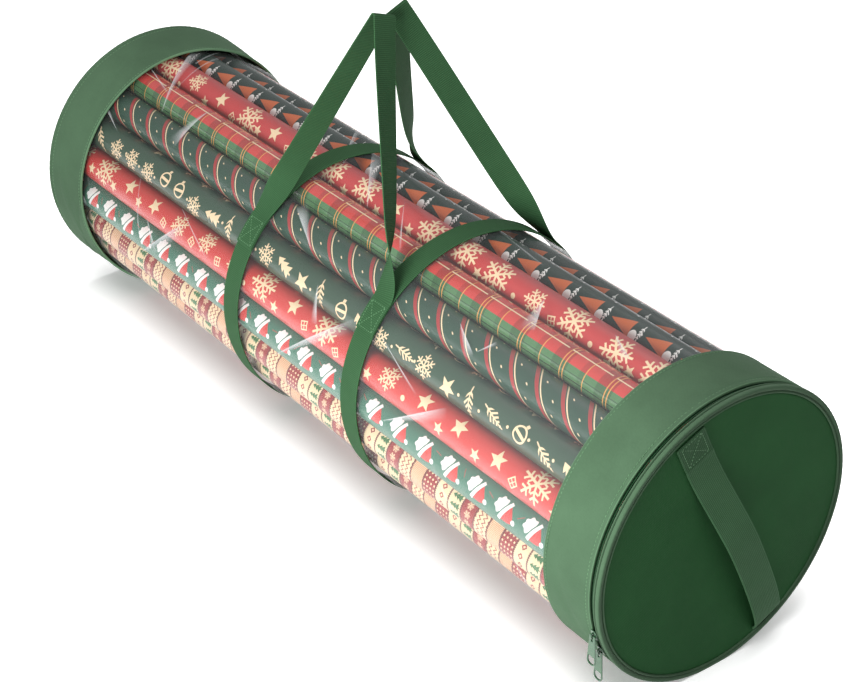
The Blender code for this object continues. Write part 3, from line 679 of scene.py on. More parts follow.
def clear_look():
    """Clear soft sheet that mirrors more at a slant, with painted glints where its folds would catch the
    light, haze that thickens towards the front end as painted sheen, and dents.
    """
    paint = Paint("clear sheet")
    u, v = paint.uv()
    place = paint.place()
    # Painted glints: pale wedges scattered over the sheet, and the listed ones below, stand in for light
    # caught on folds.
    x, y, kind = scatter(paint, u, v, 120 * MM, 165 * MM, 8, 0.7, 1.2)
    painted_glints = pick(kind[1], (wedge(x, y, 44 * MM, 5.5 * MM), 0.5))
    x, y, kind = scatter(paint, u + 60 * MM, v, 150 * MM, 120 * MM, 5, 0.7, 1.5)
    painted_glints = painted_glints.top(pick(kind[1], (wedge(x, y, 90 * MM, 1.6 * MM), 0.5)))
    for tip_x, tip_angle, end_x, end_angle, half in GLINTS:
        tip = Vector((math.radians(tip_angle) * SHEET_RADIUS, tip_x * MM))
        end = Vector((math.radians(end_angle) * SHEET_RADIUS, end_x * MM))
        run, middle = (end - tip).normalized(), (tip + end) / 2
        across, on = u - middle.x, v - middle.y
        along, aside = across * run.x + on * run.y, on * run.x - across * run.y
        painted_glints = painted_glints.top(wedge(along, aside, (end - tip).length, half * MM))
    cloud = paint.noise(place, 5, 3, 0.6)
    dust = paint.noise(place, 260, 2, 0.6)
    # The haze thickens towards the front end: painted sheen over the real haze, with the painted glints added
    # on top.
    front = (v * 1.3 + 0.5).clamp()
    haze_and_painted_sheen = 0.006 + cloud * 0.012 + front * 0.022 + painted_glints * 0.34
    slant = paint.node("LayerWeight", {"Blend": 0.3}, "Facing")
    mirror = 0.008 + slant.power(5) * 0.24
    dents = paint.noise(place, 11, 1, 0.3, stretch=(0.7, 1, 1))
    return paint.finish(
        Base_Color=hue("sheet"),
        Metallic=mirror / (mirror + haze_and_painted_sheen),
        Alpha=(haze_and_painted_sheen + mirror).clamp(),
        Roughness=0.06 + dust * 0.05,
        Normal=paint.bump(dents, 2 * MM, 0.2),
    )


# Printed papers


def cells(u, v, width, height):
    """Brick cells: the column and row of each, and the place in it from -0.5 to 0.5 both ways."""
    up = v / height
    row = up.floor()
    shifted = u / width + (row * 0.5).fract()
    column = shifted.floor()
    return column, row, shifted - column - 0.5, up - row - 0.5


def scatter(paint, u, v, width, height, seed, jitter=0.18, spin=TURN):
    """A motif's own place in each brick cell: metres from its middle, turned, and three numbers."""
    column, row, x, y = cells(u, v, width, height)
    numbers = paint.chance(column, row, seed)
    x = (x - (numbers[0] - 0.5) * jitter) * width
    y = (y - (numbers[1] - 0.5) * jitter) * height
    angle = numbers[2] * spin
    c, s = angle.cos(), angle.sin()
    return x * c + y * s, y * c - x * s, numbers


def polar(paint, x, y, size, sides):
    """Distance from the middle in motif radii, and the place in one folded sector."""
    reach = (x * x + y * y).power(0.5) / size
    angle = paint.maths("ARCTAN2", y, x)
    folded = abs(paint.maths("WRAP", angle, math.pi / sides, -math.pi / sides))
    return reach, reach * folded.cos(), reach * folded.sin()


def snowflake(paint, x, y, size):
    """Six arms with two pairs of side twigs each."""
    reach, along, aside = polar(paint, x, y, size, 6)
    mask = (aside < 0.062) * (along < 1)
    for start, length, thick in ((0.34, 0.30, 0.05), (0.60, 0.34, 0.055)):
        off = along - start
        across = abs(off * math.sin(math.pi / 3) - aside * math.cos(math.pi / 3))
        down = off * math.cos(math.pi / 3) + aside * math.sin(math.pi / 3)
        mask = mask.top((across < thick) * (down < length) * (down > 0))
    return mask.top(reach < 0.13)


def star(paint, x, y, size):
    """A five-pointed star: inside the line from a tip to the next inner corner."""
    _, along, aside = polar(paint, x, y, size, 5)
    return ((along - 1) * 0.25 + aside * 0.64) < 0


def dot(x, y, size):
    """A round dot."""
    return (x * x + y * y) < (size * size)


def fir(x, y, size):
    """A fir tree: three tiers that widen downwards."""
    height = y / size
    tier = ((1 - height) * 1.5).fract()
    crown = (abs(x) / size < (tier * 0.34 + (1 - height) * 0.16)) * (abs(height) < 1)
    trunk = (abs(x) < size * 0.09) * (abs(height + 1.12) < 0.14)
    return crown.top(trunk)


def sprig(x, y, size):
    """A stem with slanting leaves on both sides."""
    along, aside = x / size, abs(y) / size
    leaf = ((along - aside * 0.9) * 2.6).fract()
    leaves = (leaf < 0.5) * (aside < (0.46 - abs(along) * 0.42))
    stem = (aside < 0.045) * (abs(along) < 1.15)
    return leaves.top(stem)


def bauble(x, y, size):
    """A hanging ball: a ring with a waist band and a cap."""
    reach = (x * x + y * y).power(0.5) / size
    ring = abs(reach - 0.80) < 0.10
    belt = (abs(y) < size * 0.16) * (reach < 0.8)
    cap = (abs(x) < size * 0.2) * (abs(y / size - 1.08) < 0.16)
    return ring.top(belt).top(cap)


def parcel(x, y, size):
    """The outline of a tied parcel."""
    wide, high = abs(x) / size, abs(y) / size
    edge = wide.top(high)
    frame_line = abs(edge - 0.82) < 0.13
    ribbon = (wide.low(high) < 0.1) * (edge < 0.9)
    return frame_line.top(ribbon)


def choose(kind, low, high):
    """1 in the cells whose number lies between two values."""
    return (kind > low) * (kind < high)


def pick(kind, *motifs):
    """Motifs, each seen in the cells whose number lies between the limit before it and its own."""
    limits = (0.0, *(limit for _, limit in motifs))
    shown = [motif * choose(kind, low, high) for (motif, high), low in zip(motifs, limits)]
    mask = shown[0]
    for other in shown[1:]:
        mask = mask.top(other)
    return mask


def paper_finish(paint, base, roughness, coat=0.3):
    """Coated paper: slight waviness along the roll and a fine tooth."""
    place = paint.place()
    wavy = paint.noise(place, 18, 2, 0.5, stretch=(0.35, 1, 1))
    fine = paint.noise(place, 700, 2)
    return paint.finish(
        Base_Color=base,
        Roughness=roughness + fine * 0.08,
        Normal=paint.bump(wavy, 1.6 * MM, 0.22),
        Coat_Weight=coat,
        Coat_Roughness=0.24,
    )


def print_snow(name, ground, seed):
    """Snowflakes, stars, dots and parcels in cream on a plain ground."""
    paint = Paint(name)
    u, v = paint.uv()
    x, y, (*_, kind) = scatter(paint, u, v - 13 * MM, 58 * MM, ROUND / 2, seed, 0.12)
    flakes = [(snowflake(paint, x, y, size * MM), limit) for size, limit in ((21, 0.62), (15, 0.82))]
    mask = pick(kind, *flakes, (star(paint, x, y, 11.5 * MM), 1.01))
    x, y, (*_, kind) = scatter(paint, u + 29 * MM, v - 24 * MM, 58 * MM, ROUND / 2, seed + 3, 0.1)
    small = ((dot(x, y, 3.2 * MM), 0.3), (parcel(x, y, 5.5 * MM), 0.5), (star(paint, x, y, 8 * MM), 1.01))
    return paper_finish(paint, paint.mix(mask.top(pick(kind, *small)), ground, hue("cream")), 0.34)


def print_sprigs(name, ground, seed):
    """Sprigs, firs, baubles, stars and snowflakes in cream on grey green."""
    paint = Paint(name)
    u, v = paint.uv()
    x, y, (*_, kind) = scatter(paint, u, v + 8 * MM, 36 * MM, ROUND / 3, seed, 0.2)
    mask = pick(
        kind,
        (sprig(x, y, 15 * MM), 0.25),
        (fir(x, y, 13 * MM), 0.42),
        (bauble(x, y, 10.5 * MM), 0.58),
        (star(paint, x, y, 12.5 * MM), 0.78),
        (snowflake(paint, x, y, 14 * MM), 1.01),
    )
    x, y, (*_, kind) = scatter(paint, u + 18 * MM, v + 8 * MM, 36 * MM, ROUND / 3, seed + 5)
    mask = mask.top(pick(kind, (dot(x, y, 1.7 * MM), 0.6)))
    return paper_finish(paint, paint.mix(mask, ground, hue("cream")), 0.4)


def print_firs(name, ground, seed):
    """Orange firs, white twigs and snow on the darkest green."""
    paint = Paint(name)
    u, v = paint.uv()
    v = v - 12 * MM
    wide, high, size = 48 * MM, ROUND / 2, 14 * MM
    _, _, x, y = cells(u, v, wide, high)
    x, y = x * wide, y * high
    crown = (abs(y) / size < (x / size + 1) * 0.36) * (abs(x) < size)
    branch = sprig(y, x + 22 * MM, 9 * MM)
    drift = dot(x - 19 * MM, (y - 6 * MM) * 0.8, 5 * MM)
    x, y, (*_, kind) = scatter(paint, u + 13 * MM, v, 16 * MM, ROUND / 6, seed)
    flakes = pick(kind, (dot(x, y, 1.2 * MM), 0.5)) * (1 - crown)
    base = paint.mix(crown, ground, hue("orange"))
    base = paint.mix(branch.top(drift).top(flakes), base, hue("white"))
    return paper_finish(paint, base, 0.32)


def lines(value, *places):
    """Stripes, each given by its middle and half width."""
    mask = abs(value - places[0][0]) < places[0][1]
    for middle, half in places[1:]:
        mask = mask.top(abs(value - middle) < half)
    return mask


def print_plaid(name):
    """A red and green plaid: broad stripes along, shaded blocks and double gold lines across, and a pale
    dashed line along that is a painted highlight.
    """
    paint = Paint(name)
    u, v = paint.uv()
    along = (v / (60.5 * MM) + 0.24).fract()
    across = (u / (62 * MM)).fract()
    base = paint.mix(along < 0.46, hue("bright_red"), (0.085, 0.205, 0.085))
    block = (abs(across - 0.5) > 0.33) * 0.34 + (abs(across - 0.5) < 0.06) * 0.22
    base = paint.shade(base, 1 - block)
    dark = lines(along, (0.23, 0.012), (0.12, 0.006), (0.47, 0.008))
    base = paint.mix(dark * 0.8, base, (0.012, 0.03, 0.02))
    thin = lines(across, (0.04, 0.011), (0.11, 0.011), (0.56, 0.010))
    base = paint.mix(thin * 0.85, base, hue("gold"))
    # A pale dashed line along the roll: painted highlight.
    painted_highlight_line = lines(along, (0.77, 0.013)) * lines(across, (0.5, 0.46))
    base = paint.mix(painted_highlight_line * 0.85, base, (0.95, 0.78, 0.50))
    return paper_finish(paint, base, 0.12, 0.8)


def print_rings(name, ground):
    """Broad red and thin cream stripes that wind round on a slant, with small white dots between them."""
    paint = Paint(name)
    u, v = paint.uv()
    pitch, high = 38 * MM, 13.43 * MM
    share = ((u - v * 0.943) / pitch).fract()
    x = (share - 0.66 - (((v / high).floor() * 0.5).fract() - 0.25) * 0.44) * pitch
    dots = dot(x, (v / high).fract() * high - 6.7 * MM, 1.2 * MM)
    base = paint.mix(lines(share, (0.16, 0.075)), ground, hue("red", 0.72))
    base = paint.mix(lines(share, (0.31, 0.026)).top(dots), base, hue("cream"))
    return paper_finish(paint, base, 0.4)


def print_hats(name, ground, seed):
    """Red pointed caps with white fur and a white fluffy cloud under each, on teal."""
    paint = Paint(name)
    u, v = paint.uv()
    v = v + 10 * MM
    wide, high, size = 42 * MM, ROUND / 3, 14 * MM
    _, _, px, py = cells(u, v, wide, high)
    px, py = px * wide, py * high
    c, s = math.cos(math.radians(-62)), math.sin(math.radians(-62))
    x, y = (px * c + py * s) / size, (py * c - px * s) / size
    peak = (1.05 - y).clamp().power(0.5) * 0.72
    cap = (abs(x) < peak) * (y > 0.08) * (y < 1.05)
    fur = (abs(y) < 0.15) * (abs(x) < 0.86)
    sunk = y + 0.55
    away = (x * x + sunk * sunk * 1.6).power(0.5)
    cloud = away < ((paint.maths("ARCTAN2", sunk, x) * 7).sin() * 0.07 + 0.62)
    under_fur = (y < -0.15) * (y > -0.24)
    white = (cloud * (y < -0.05) * (1 - under_fur)).top(fur).top(dot(x - 0.12, y - 1.12, 0.2))
    x, y, (*_, kind) = scatter(paint, u + 21 * MM, v + 3 * MM, wide, high, seed)
    dash = pick(kind, ((abs(y) < 0.45 * MM) * (abs(x) < 4.5 * MM), 0.7))
    base = paint.mix(dash * 0.6, ground, hue("bright_red"))
    base = paint.mix(cap, base, hue("bright_red"))
    base = paint.mix(white, base, hue("white"))
    return paper_finish(paint, base, 0.38)


def repeat(value, pitch):
    """The place in a row of equal steps, from the middle of each."""
    return ((value / pitch).fract() - 0.5) * pitch


def print_knit(name):
    """Bands round the roll in turn: firs, stars on red, zigzags, stripes, dots, and dark dividers."""
    paint = Paint(name)
    cream, red = hue("cream"), hue("red", 0.62)
    u, v = paint.uv()
    pitch = 20.5 * MM
    number = paint.maths("WRAP", (u / pitch).floor(), 6, 0)
    s, t, fine = repeat(u, pitch), repeat(v, 10.08 * MM), repeat(v, 5.04 * MM)
    firs, stars, zigzags, stripes, dots, steps = (abs(number - band) < 0.4 for band in range(6))
    ground = paint.mix(stars.top(dots), cream, red)
    ground = paint.mix(stripes * ((v / (1.6 * MM)).fract() < 0.5), ground, (0.62, 0.22, 0.12))
    firs = fir(t, s * -1, 6.6 * MM) * firs
    stars = snowflake(paint, s, t, 4.9 * MM) * stars
    zigzags = (abs(abs(fine) * 1.6 - (s / (7 * MM)).fract() * 7 * MM + 1.5 * MM) < 0.9 * MM) * zigzags
    dots = dot(repeat(s, 5 * MM), fine, 1.15 * MM) * dots
    around = abs(s) + abs(t)
    steps = (around < 3.6 * MM) * (around > 1.7 * MM) * steps
    from_edge = abs(abs(s) - pitch * 0.5)
    toothed = (from_edge < 1.5 * MM) * ((v / (2.2 * MM)).fract() < 0.5)
    base = paint.mix(firs, ground, (0.045, 0.16, 0.05))
    base = paint.mix(stars.top(dots), base, cream)
    base = paint.mix(zigzags.top(steps), base, red)
    base = paint.mix((from_edge < 0.75 * MM).top(toothed * 0.8), base, (0.16, 0.03, 0.025))
    return paper_finish(paint, base, 0.42)


def papers():
    """The eight papers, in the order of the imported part's slots."""
    return [
        print_firs("paper firs", hue("forest"), 11),
        print_snow("paper snow", hue("red"), 4),
        print_plaid("paper plaid"),
        print_rings("paper rings", (0.026, 0.070, 0.045)),
        print_sprigs("paper sprigs", hue("pine"), 23),
        print_snow("paper snow bright", hue("bright_red"), 31),
        print_hats("paper caps", hue("teal"), 17),
        print_knit("paper knit"),
    ]


# Pieces


class OrganizerPiece:
    """What every piece's operator shares."""

    bl_options = {"REGISTER", "UNDO"}

    def execute(self, context):
        self.make()
        return {"FINISHED"}


class ORGANIZER_OT_stage(OrganizerPiece, bpy.types.Operator):
    """Floor, studio lights and the camera"""

    bl_idname = "organizer.stage"
    bl_label = "Stage"

    def make(self):
        paint = Paint("studio floor")
        mottle = paint.noise(paint.place(), 3, 2)
        look = paint.finish(
            Base_Color=paint.shade(hue("floor"), 0.985 + mottle * 0.03),
            Roughness=0.85,
            Emission_Color=(1, 1, 1),
            Emission_Strength=0.30,
        )
        reach = np.linspace(-FLOOR_REACH, FLOOR_REACH, 3)
        mesh = bpy.data.meshes.new("studio_floor")
        faces = [(k, k + 3, k + 4, k + 1) for k in (0, 1, 3, 4)]
        mesh.from_pydata(together(reach[:, None], reach, 0).reshape(-1, 3).tolist(), [], faces)
        mesh.materials.append(look)
        floor = link("studio_floor", mesh)
        floor.visible_diffuse = False
        self.make_world()
        self.make_light("key", (0.42, -1.15, 0.50), 0.7, 17, floor, "EXCLUDE")
        self.make_light("side", (-1.6, -1.9, 1.7), 1.2, 6, floor, "EXCLUDE")
        self.make_light("overhead", (-0.3, 1.0, 2.4), 1.5, 18)
        self.make_light("floor wash", (0.2, -0.4, 2.4), 2.0, 110, floor, "INCLUDE")
        self.make_camera()
        bpy.context.scene.view_settings.view_transform = "Standard"

    def make_world(self):
        """An even sky, which is paler where it is seen than where it lights."""
        world = bpy.data.worlds.new("studio")
        world.use_nodes = True
        tree = world.node_tree
        background = tree.nodes["Background"]
        background.inputs["Color"].default_value = (1, 1, 1, 1)
        path, strength = tree.nodes.new("ShaderNodeLightPath"), tree.nodes.new("ShaderNodeMath")
        strength.operation = "MULTIPLY_ADD"
        strength.inputs[1].default_value = SKY_SEEN - SKY_LIGHT
        strength.inputs[2].default_value = SKY_LIGHT
        tree.links.new(path.outputs["Is Camera Ray"], strength.inputs[0])
        tree.links.new(strength.outputs["Value"], background.inputs["Strength"])
        bpy.context.scene.world = world

    def make_light(self, name, place, size, power, floor=None, mode="INCLUDE"):
        """A soft square light that faces the bag, and can spare the floor or reach it alone."""
        data = bpy.data.lights.new(name, "AREA")
        data.shape = "SQUARE"
        data.size = size
        data.energy = power
        light = link(name, data)
        light.location = place
        light.rotation_euler = (LIGHT_AIM - light.location).to_track_quat("-Z", "Y").to_euler()
        light.visible_glossy = name == "overhead"
        if floor:
            reached = bpy.data.collections.new(name + " reach")
            reached.objects.link(floor)
            reached.collection_objects[0].light_linking.link_state = mode
            light.light_linking.receiver_collection = reached

    def make_camera(self):
        """The camera at the photograph's place, level and with its own lens."""
        data = bpy.data.cameras.new("camera")
        data.sensor_width = CAMERA_SENSOR
        data.lens = CAMERA_LENS
        camera = link("camera", data)
        right, up = Vector(CAMERA_RIGHT).normalized(), Vector(CAMERA_UP).normalized()
        back = right.cross(up).normalized()
        turn = Matrix((right, back.cross(right), back)).transposed().to_4x4()
        camera.matrix_world = Matrix.Translation(CAMERA_PLACE) @ turn
        bpy.context.scene.camera = camera


class ORGANIZER_OT_sleeve(OrganizerPiece, bpy.types.Operator):
    """The clear sheet between the collars"""

    bl_idname = "organizer.sleeve"
    bl_label = "Clear sleeve"

    def make(self):
        """A tube whose radius falls by soft dents, with an outer and an inner wall closed at both ends."""
        angles = np.linspace(0, TURN, 240, endpoint=False)
        xs = np.linspace(SHEET[0].x, SHEET[1].x, 150)
        a, x = angles[:, None], xs[None]
        held, pinched = 60 * MM, 32 * MM
        free = smooth((x - REAR_COLLAR[1].x) / held) * smooth((FRONT_COLLAR[0].x - x) / held)
        for band in (REAR_BAND_X, FRONT_BAND_X):
            free = free * (1 - bell(x, band, pinched))
        dent = np.clip(ripple(a, x, 9, 8, 5) * 0.5 + 0.5, 0, 1.2) * sizes().dent_depth * free
        outer = SHEET_RADIUS - SHEET_RECESS - dent
        radius = np.concatenate([outer, (outer - SHEET_THICKNESS)[:, ::-1]], 1)
        across = np.append(xs, xs[::-1])
        skin = Skin().grid(on_ring(a, radius, across), ring_uv(angles, across, SHEET_RADIUS), ring=True)
        sleeve = skin.build("clear_sleeve", [clear_look()], "bag", "clear_sheet", ["clear_tube"])


def cloth_ring(name, box, seed, look, seam, creases, finish):
    """A cloth collar: a rounded section carried round the axis.

    Its outer face sinks at the seam, puckers beside it, and folds along each crease.
    """
    middle, thickness = middle_x(box), RADIUS - COLLAR_BORE
    across, through = section(span_x(box), thickness, 1.1 * MM, 44, 4)
    angles = np.linspace(0, TURN, 360, endpoint=False)
    a, x = angles[:, None], (middle + across)[None]
    puckers = round(TURN * RADIUS / (7 * MM))
    pucker = np.cos(a * puckers + ripple(a, x, 4, 12, seed + 1) * 2)
    lift = ripple(a, x, 7, 9, seed) * 0.22 * MM
    lift = lift - 0.5 * MM * bell(x, seam, 1.1 * MM) + 0.16 * MM * pucker * bell(x, seam, 4 * MM)
    for angle, slope, place, spread, depth in creases:
        along = (a - math.radians(angle) + math.pi) % TURN - math.pi
        line = x - (middle + place * MM) - slope * along
        lift = lift + depth * sizes().crease_depth * bell(line, 0, spread * MM) * bell(along, 0, 0.5)
    outside = smooth((through + thickness / 2) / thickness)
    radius = (RADIUS + COLLAR_BORE) / 2 + through + np.minimum(lift, 0.5 * MM) * outside
    skin = Skin().grid(finish(on_ring(a, radius, x)), ring_uv(angles, middle + across, RADIUS), ring=True)
    return skin.build(name, [look], "bag", "cloth", [name.replace("_cloth", "")])


class ORGANIZER_OT_collars(OrganizerPiece, bpy.types.Operator):
    """The two cloth collars with their seams and stitches"""

    bl_idname = "organizer.collars"
    bl_label = "Collars"

    def make(self):
        front_seam, rear_seam = FRONT_COLLAR[1].x - 5 * MM, REAR_COLLAR[0].x + 3 * MM
        for name, box, depth, seed, seam, creases, finish in (
            ("front", FRONT_COLLAR, 0.22, 3, front_seam, FRONT_CREASES, rest_on_floor),
            ("rear", REAR_COLLAR, 0.32, 9, rear_seam, REAR_CREASES, swollen),
        ):
            edge = (middle_x(box), span_x(box) / 2 - 0.9 * MM)
            look = cloth_look(f"collar cloth {name}", hue("cloth"), depth, pale_edge=edge)
            cloth_ring(f"{name}_collar_cloth", box, seed, look, seam, creases, finish)
        skin = Skin()
        rows = [(x, RADIUS - STITCH_SINK) for x in (front_seam, rear_seam)]
        rows += [(x, RADIUS) for x in (FRONT_COLLAR[0].x + HEM, REAR_COLLAR[1].x - HEM)]
        for x, radius in rows:
            angles = stitch_angles(radius)
            stitches = ring_threads(angles[np.sin(angles) > -0.985], radius, x)
            skin.grid(swollen(stitches) if x < 0 else stitches)
        skin.build("collar_stitches", [thread_look()], "bag", "cloth")


def rim_ring(name, outline, seed, look, body, slot, node, finish=rest_on_floor):
    """A rolled rim: (x, radius) corners, rounded by repeated averaging and carried round the axis."""
    corners = np.array(outline)
    for _ in range(3):
        after = np.roll(corners, -1, 0)
        corners = np.stack([corners * 0.78 + after * 0.22, corners * 0.22 + after * 0.78], 1).reshape(-1, 2)
    angles = np.linspace(0, TURN, 420, endpoint=False)
    a = angles[:, None]
    x, r = corners.T[:, None]
    outside = smooth((r - (RADIUS - 4 * MM)) / (4 * MM))
    pucker = np.cos(a * 137 + ripple(a, x, 4, 11, seed) * 3) * 0.10 * MM
    pucker = pucker + ripple(a, x, 6, 14, seed + 2) * 0.14 * MM
    points = finish(on_ring(a, r + np.minimum(pucker, 0.15 * MM) * outside, x))
    skin = Skin().grid(points, ring_uv(angles, lengths_along(corners), RADIUS), ring=True)
    return skin.build(name, [look], body, slot, [node])


def end_disc(name, box, side, look, body, slot, node, seed, finish=rest_on_floor):
    """A round of cloth: its face swells and sinks by soft waves that die out at the rim, with a back wall."""
    radius = box_radius(box) + DISC_TUCK
    shares = np.append(np.linspace(0.002, 1, 60), np.linspace(1, 0.002, 12))
    face = np.repeat((1.0, 0.0), (60, 12))[:, None]
    a, r = np.linspace(0, TURN, 180, endpoint=False)[None], (shares * radius)[:, None]
    y, z = r * np.cos(a), r * np.sin(a)
    source = np.random.default_rng(seed)
    swell = 0
    for _ in range(6):
        kx, kz, phase = source.uniform(-28, 28), source.uniform(-28, 28), source.uniform(0, TURN)
        swell = swell + np.cos(kx * y + kz * z + phase)
    drawn = np.cos(a * 34 + 2 * np.cos(3 * a)) * bell(r, radius, 14 * MM)
    depth = (swell * 0.035 * MM - 0.07 * MM + drawn * 0.10 * MM) * smooth((radius - r) / (10 * MM)) * face
    x = middle_x(box) + side * (PANEL_THICKNESS * (face - 0.5) + depth)
    uv = together(y, z)
    skin = Skin().grid(finish(together(x, y, AXIS_Z + z)), np.append(uv, uv[:, :1], 1))
    return skin.build(name, [look], body, slot, [node])


class ORGANIZER_OT_closed_end(OrganizerPiece, bpy.types.Operator):
    """The bound rim and cloth disc of the closed end"""

    bl_idname = "organizer.closed_end"
    bl_label = "Closed end"

    def make(self):
        look = cloth_look("base cloth", hue("cloth"), 0.28)
        low, high = BASE_RIM[0].x, BASE_RIM[1].x
        outline = (
            (high, RADIUS - 0.1 * MM),
            (high - 2.4 * MM, RADIUS + 0.3 * MM),
            (low + 0.3 * MM, RADIUS - 0.1 * MM),
            (low - 0.2 * MM, RADIUS - 3.4 * MM),
            (low + 0.1 * MM, RIM_BORE + 1.2 * MM),
            (low + 1.6 * MM, RIM_BORE + 0.1 * MM),
            (high, RIM_BORE + 0.1 * MM),
        )
        rim_ring("base_rim_cloth", outline, 41, look, "bag", "cloth", "base_binding", swollen)
        end_disc("base_disc_cloth", BASE_PANEL, -1, look, "bag", "cloth", "base_panel", 6, swollen)
        radius = RADIUS - 6.2 * MM
        stitches = ring_threads(stitch_angles(radius), radius, low + 0.2 * MM, np.array((-1.0, 0, 0)))
        Skin().grid(swollen(stitches)).build("base_stitches", [thread_look()], "bag", "cloth")


class ORGANIZER_OT_lid(OrganizerPiece, bpy.types.Operator):
    """The lid's cloth face and its rolled piping"""

    bl_idname = "organizer.lid"
    bl_label = "Lid"

    def make(self):
        # The lid's darker cloth colour is painted shade on its face.
        look = cloth_look("lid cloth", hue("lid"), 0.16, sheen=0.0, gloss=0.12)
        end_disc("lid_face_cloth", LID_PANEL, 1, look, "lid", "lid_cloth", "lid_panel", 12)
        piping = cloth_look("piping cloth", hue("cloth"), 0.12, sheen=0.12)
        low, high = LID_RIM[0].x, LID_RIM[1].x
        outline = (
            (high + 0.2 * MM, RADIUS - 2.6 * MM),
            (high - 0.2 * MM, RADIUS + 0.3 * MM),
            (low + 3.6 * MM, RADIUS + 0.5 * MM),
            (low + 3.0 * MM, RADIUS - 0.6 * MM),
            (low + 2.5 * MM, RADIUS - 2.4 * MM),
            (low + 2.0 * MM, RADIUS - 0.6 * MM),
            (low + 1.2 * MM, RADIUS + 0.4 * MM),
            (low - 0.1 * MM, RADIUS - 0.3 * MM),
            (low, COLLAR_BORE + 0.1 * MM),
            (low + 3.1 * MM, COLLAR_BORE + 0.1 * MM),
            (low + 3.1 * MM, RIM_BORE + 0.1 * MM),
            (high - 2.0 * MM, RIM_BORE + 0.1 * MM),
            (high - 0.2 * MM, RIM_BORE + 0.4 * MM),
            (high + 0.2 * MM, RIM_BORE + 1.5 * MM),
            (high - 0.6 * MM, RIM_BORE + 2.2 * MM),
            (high - 2.0 * MM, RIM_BORE + 2.8 * MM),
            (high - 0.4 * MM, RIM_BORE + 3.4 * MM),
        )
        rim_ring("lid_piping_cloth", outline, 57, piping, "lid", "piping", "lid_binding")


def arc_strip(box, margin, thickness, corner, steps, angles, radius):
    """A section as wide as its box and a margin, carried round part of the axis, and its places across."""
    across, through = section(span_x(box) + margin, thickness, corner, *steps)
    return on_ring(angles[:, None], radius + through, middle_x(box) + across), across


class ORGANIZER_OT_zip(OrganizerPiece, bpy.types.Operator):
    """The zip's tapes and teeth, and the cloth hinge"""

    bl_idname = "organizer.zip"
    bl_label = "Zip"

    def make(self):
        start, sweep = HINGE_ANGLE + HINGE_SWEEP, TURN - 2 * HINGE_SWEEP
        look = webbing_look("zip tape", hue("zip_tape"), 20 * MM)
        angles = np.linspace(start, start + sweep, 330)
        for name, box, body in (("collar", COLLAR_TAPE, "bag"), ("lid", LID_TAPE, "lid")):
            points, across = arc_strip(box, 0, 0.7 * MM, 0.25 * MM, (6, 2), angles, CHAIN_RADIUS)
            skin = Skin().grid(points, strip_uv(angles * RADIUS, across))
            skin.build(f"{name}_tape_cloth", [look], body, "zip_tape", [f"{name}_zip_tape"])
        coil = plain_look("zip coil", hue("zip_tape"), 300, 0.9, 0.6, 0.32)
        for name, box, body, shift in (("collar", COLLAR_CHAIN, "bag", 0.3), ("lid", LID_CHAIN, "lid", 0.6)):
            skin = self.make_teeth(box, start, sweep, shift)
            skin.build(f"{name}_zip_teeth", [coil], body, "zip_chain", [f"{name}_zip_chain"])
        self.make_hinge()

    def make_teeth(self, box, start, sweep, shift):
        """A coil's teeth: short fat spindles across the zip, one at each pitch, on a rail."""
        count = int(sweep * SHEET_RADIUS / sizes().tooth_pitch)
        angles = start + (np.arange(count) + shift) * sweep / count
        starts = on_ring(angles, CHAIN_RADIUS, box[0].x - 0.1 * MM)
        ends = on_ring(angles, CHAIN_RADIUS, box[1].x + 0.1 * MM)
        teeth = threads(starts, ends, radial(angles), 0.62 * MM)
        arc = np.linspace(start, start + sweep, 300)
        rail, _ = arc_strip(box, -0.3 * MM, 0.8 * MM, 0.3 * MM, (2, 2), arc, CHAIN_RADIUS)
        return Skin().grid(teeth).grid(rail)

    def make_hinge(self):
        """The strip of cloth that bends between the bag and the lid."""
        half = HINGE_SWEEP - math.radians(1)
        angles = np.linspace(HINGE_ANGLE - half, HINGE_ANGLE + half, 24)
        radius = RADIUS - 1.4 * MM
        points, across = arc_strip(HINGE_STRIP, 0.5 * MM, 1.2 * MM, 0.4 * MM, (8, 2), angles, radius)
        skin = Skin().grid(points, strip_uv((angles - angles[0]) * RADIUS, across))
        hinge = Vector(on_ring(HINGE_ANGLE, RADIUS, 0))
        low, high = HINGE_STRIP
        blend = ("lid", hinge + Vector((low.x - 0.1 * MM, 0, 0)), hinge + Vector((high.x, 0, 0)))
        look = cloth_look("hinge cloth", hue("cloth"), 0.15)
        skin.build("hinge_strip_cloth", [look], "bag", "cloth", ["lid_hinge_strip"], blend)


def flat_curve(name, outlines, thickness, edge):
    """A bevelled plate from filled outlines in X and Y, later outlines being holes, made a mesh."""
    curve = bpy.data.curves.new(name, "CURVE")
    curve.dimensions = "2D"
    curve.fill_mode = "BOTH"
    curve.extrude = thickness / 2 - edge
    curve.bevel_depth = edge
    curve.bevel_resolution = 2
    curve.offset = -edge
    for outline in outlines:
        spline = curve.splines.new("POLY")
        spline.points.add(len(outline) - 1)
        flat = np.zeros((len(outline), 4))
        flat[:, :2], flat[:, 3] = outline, 1
        spline.points.foreach_set("co", flat.ravel())
        spline.use_cyclic_u = True
    shape = link(name, curve)
    graph = bpy.context.evaluated_depsgraph_get()
    mesh = bpy.data.meshes.new_from_object(shape.evaluated_get(graph))
    bpy.data.objects.remove(shape)
    return mesh


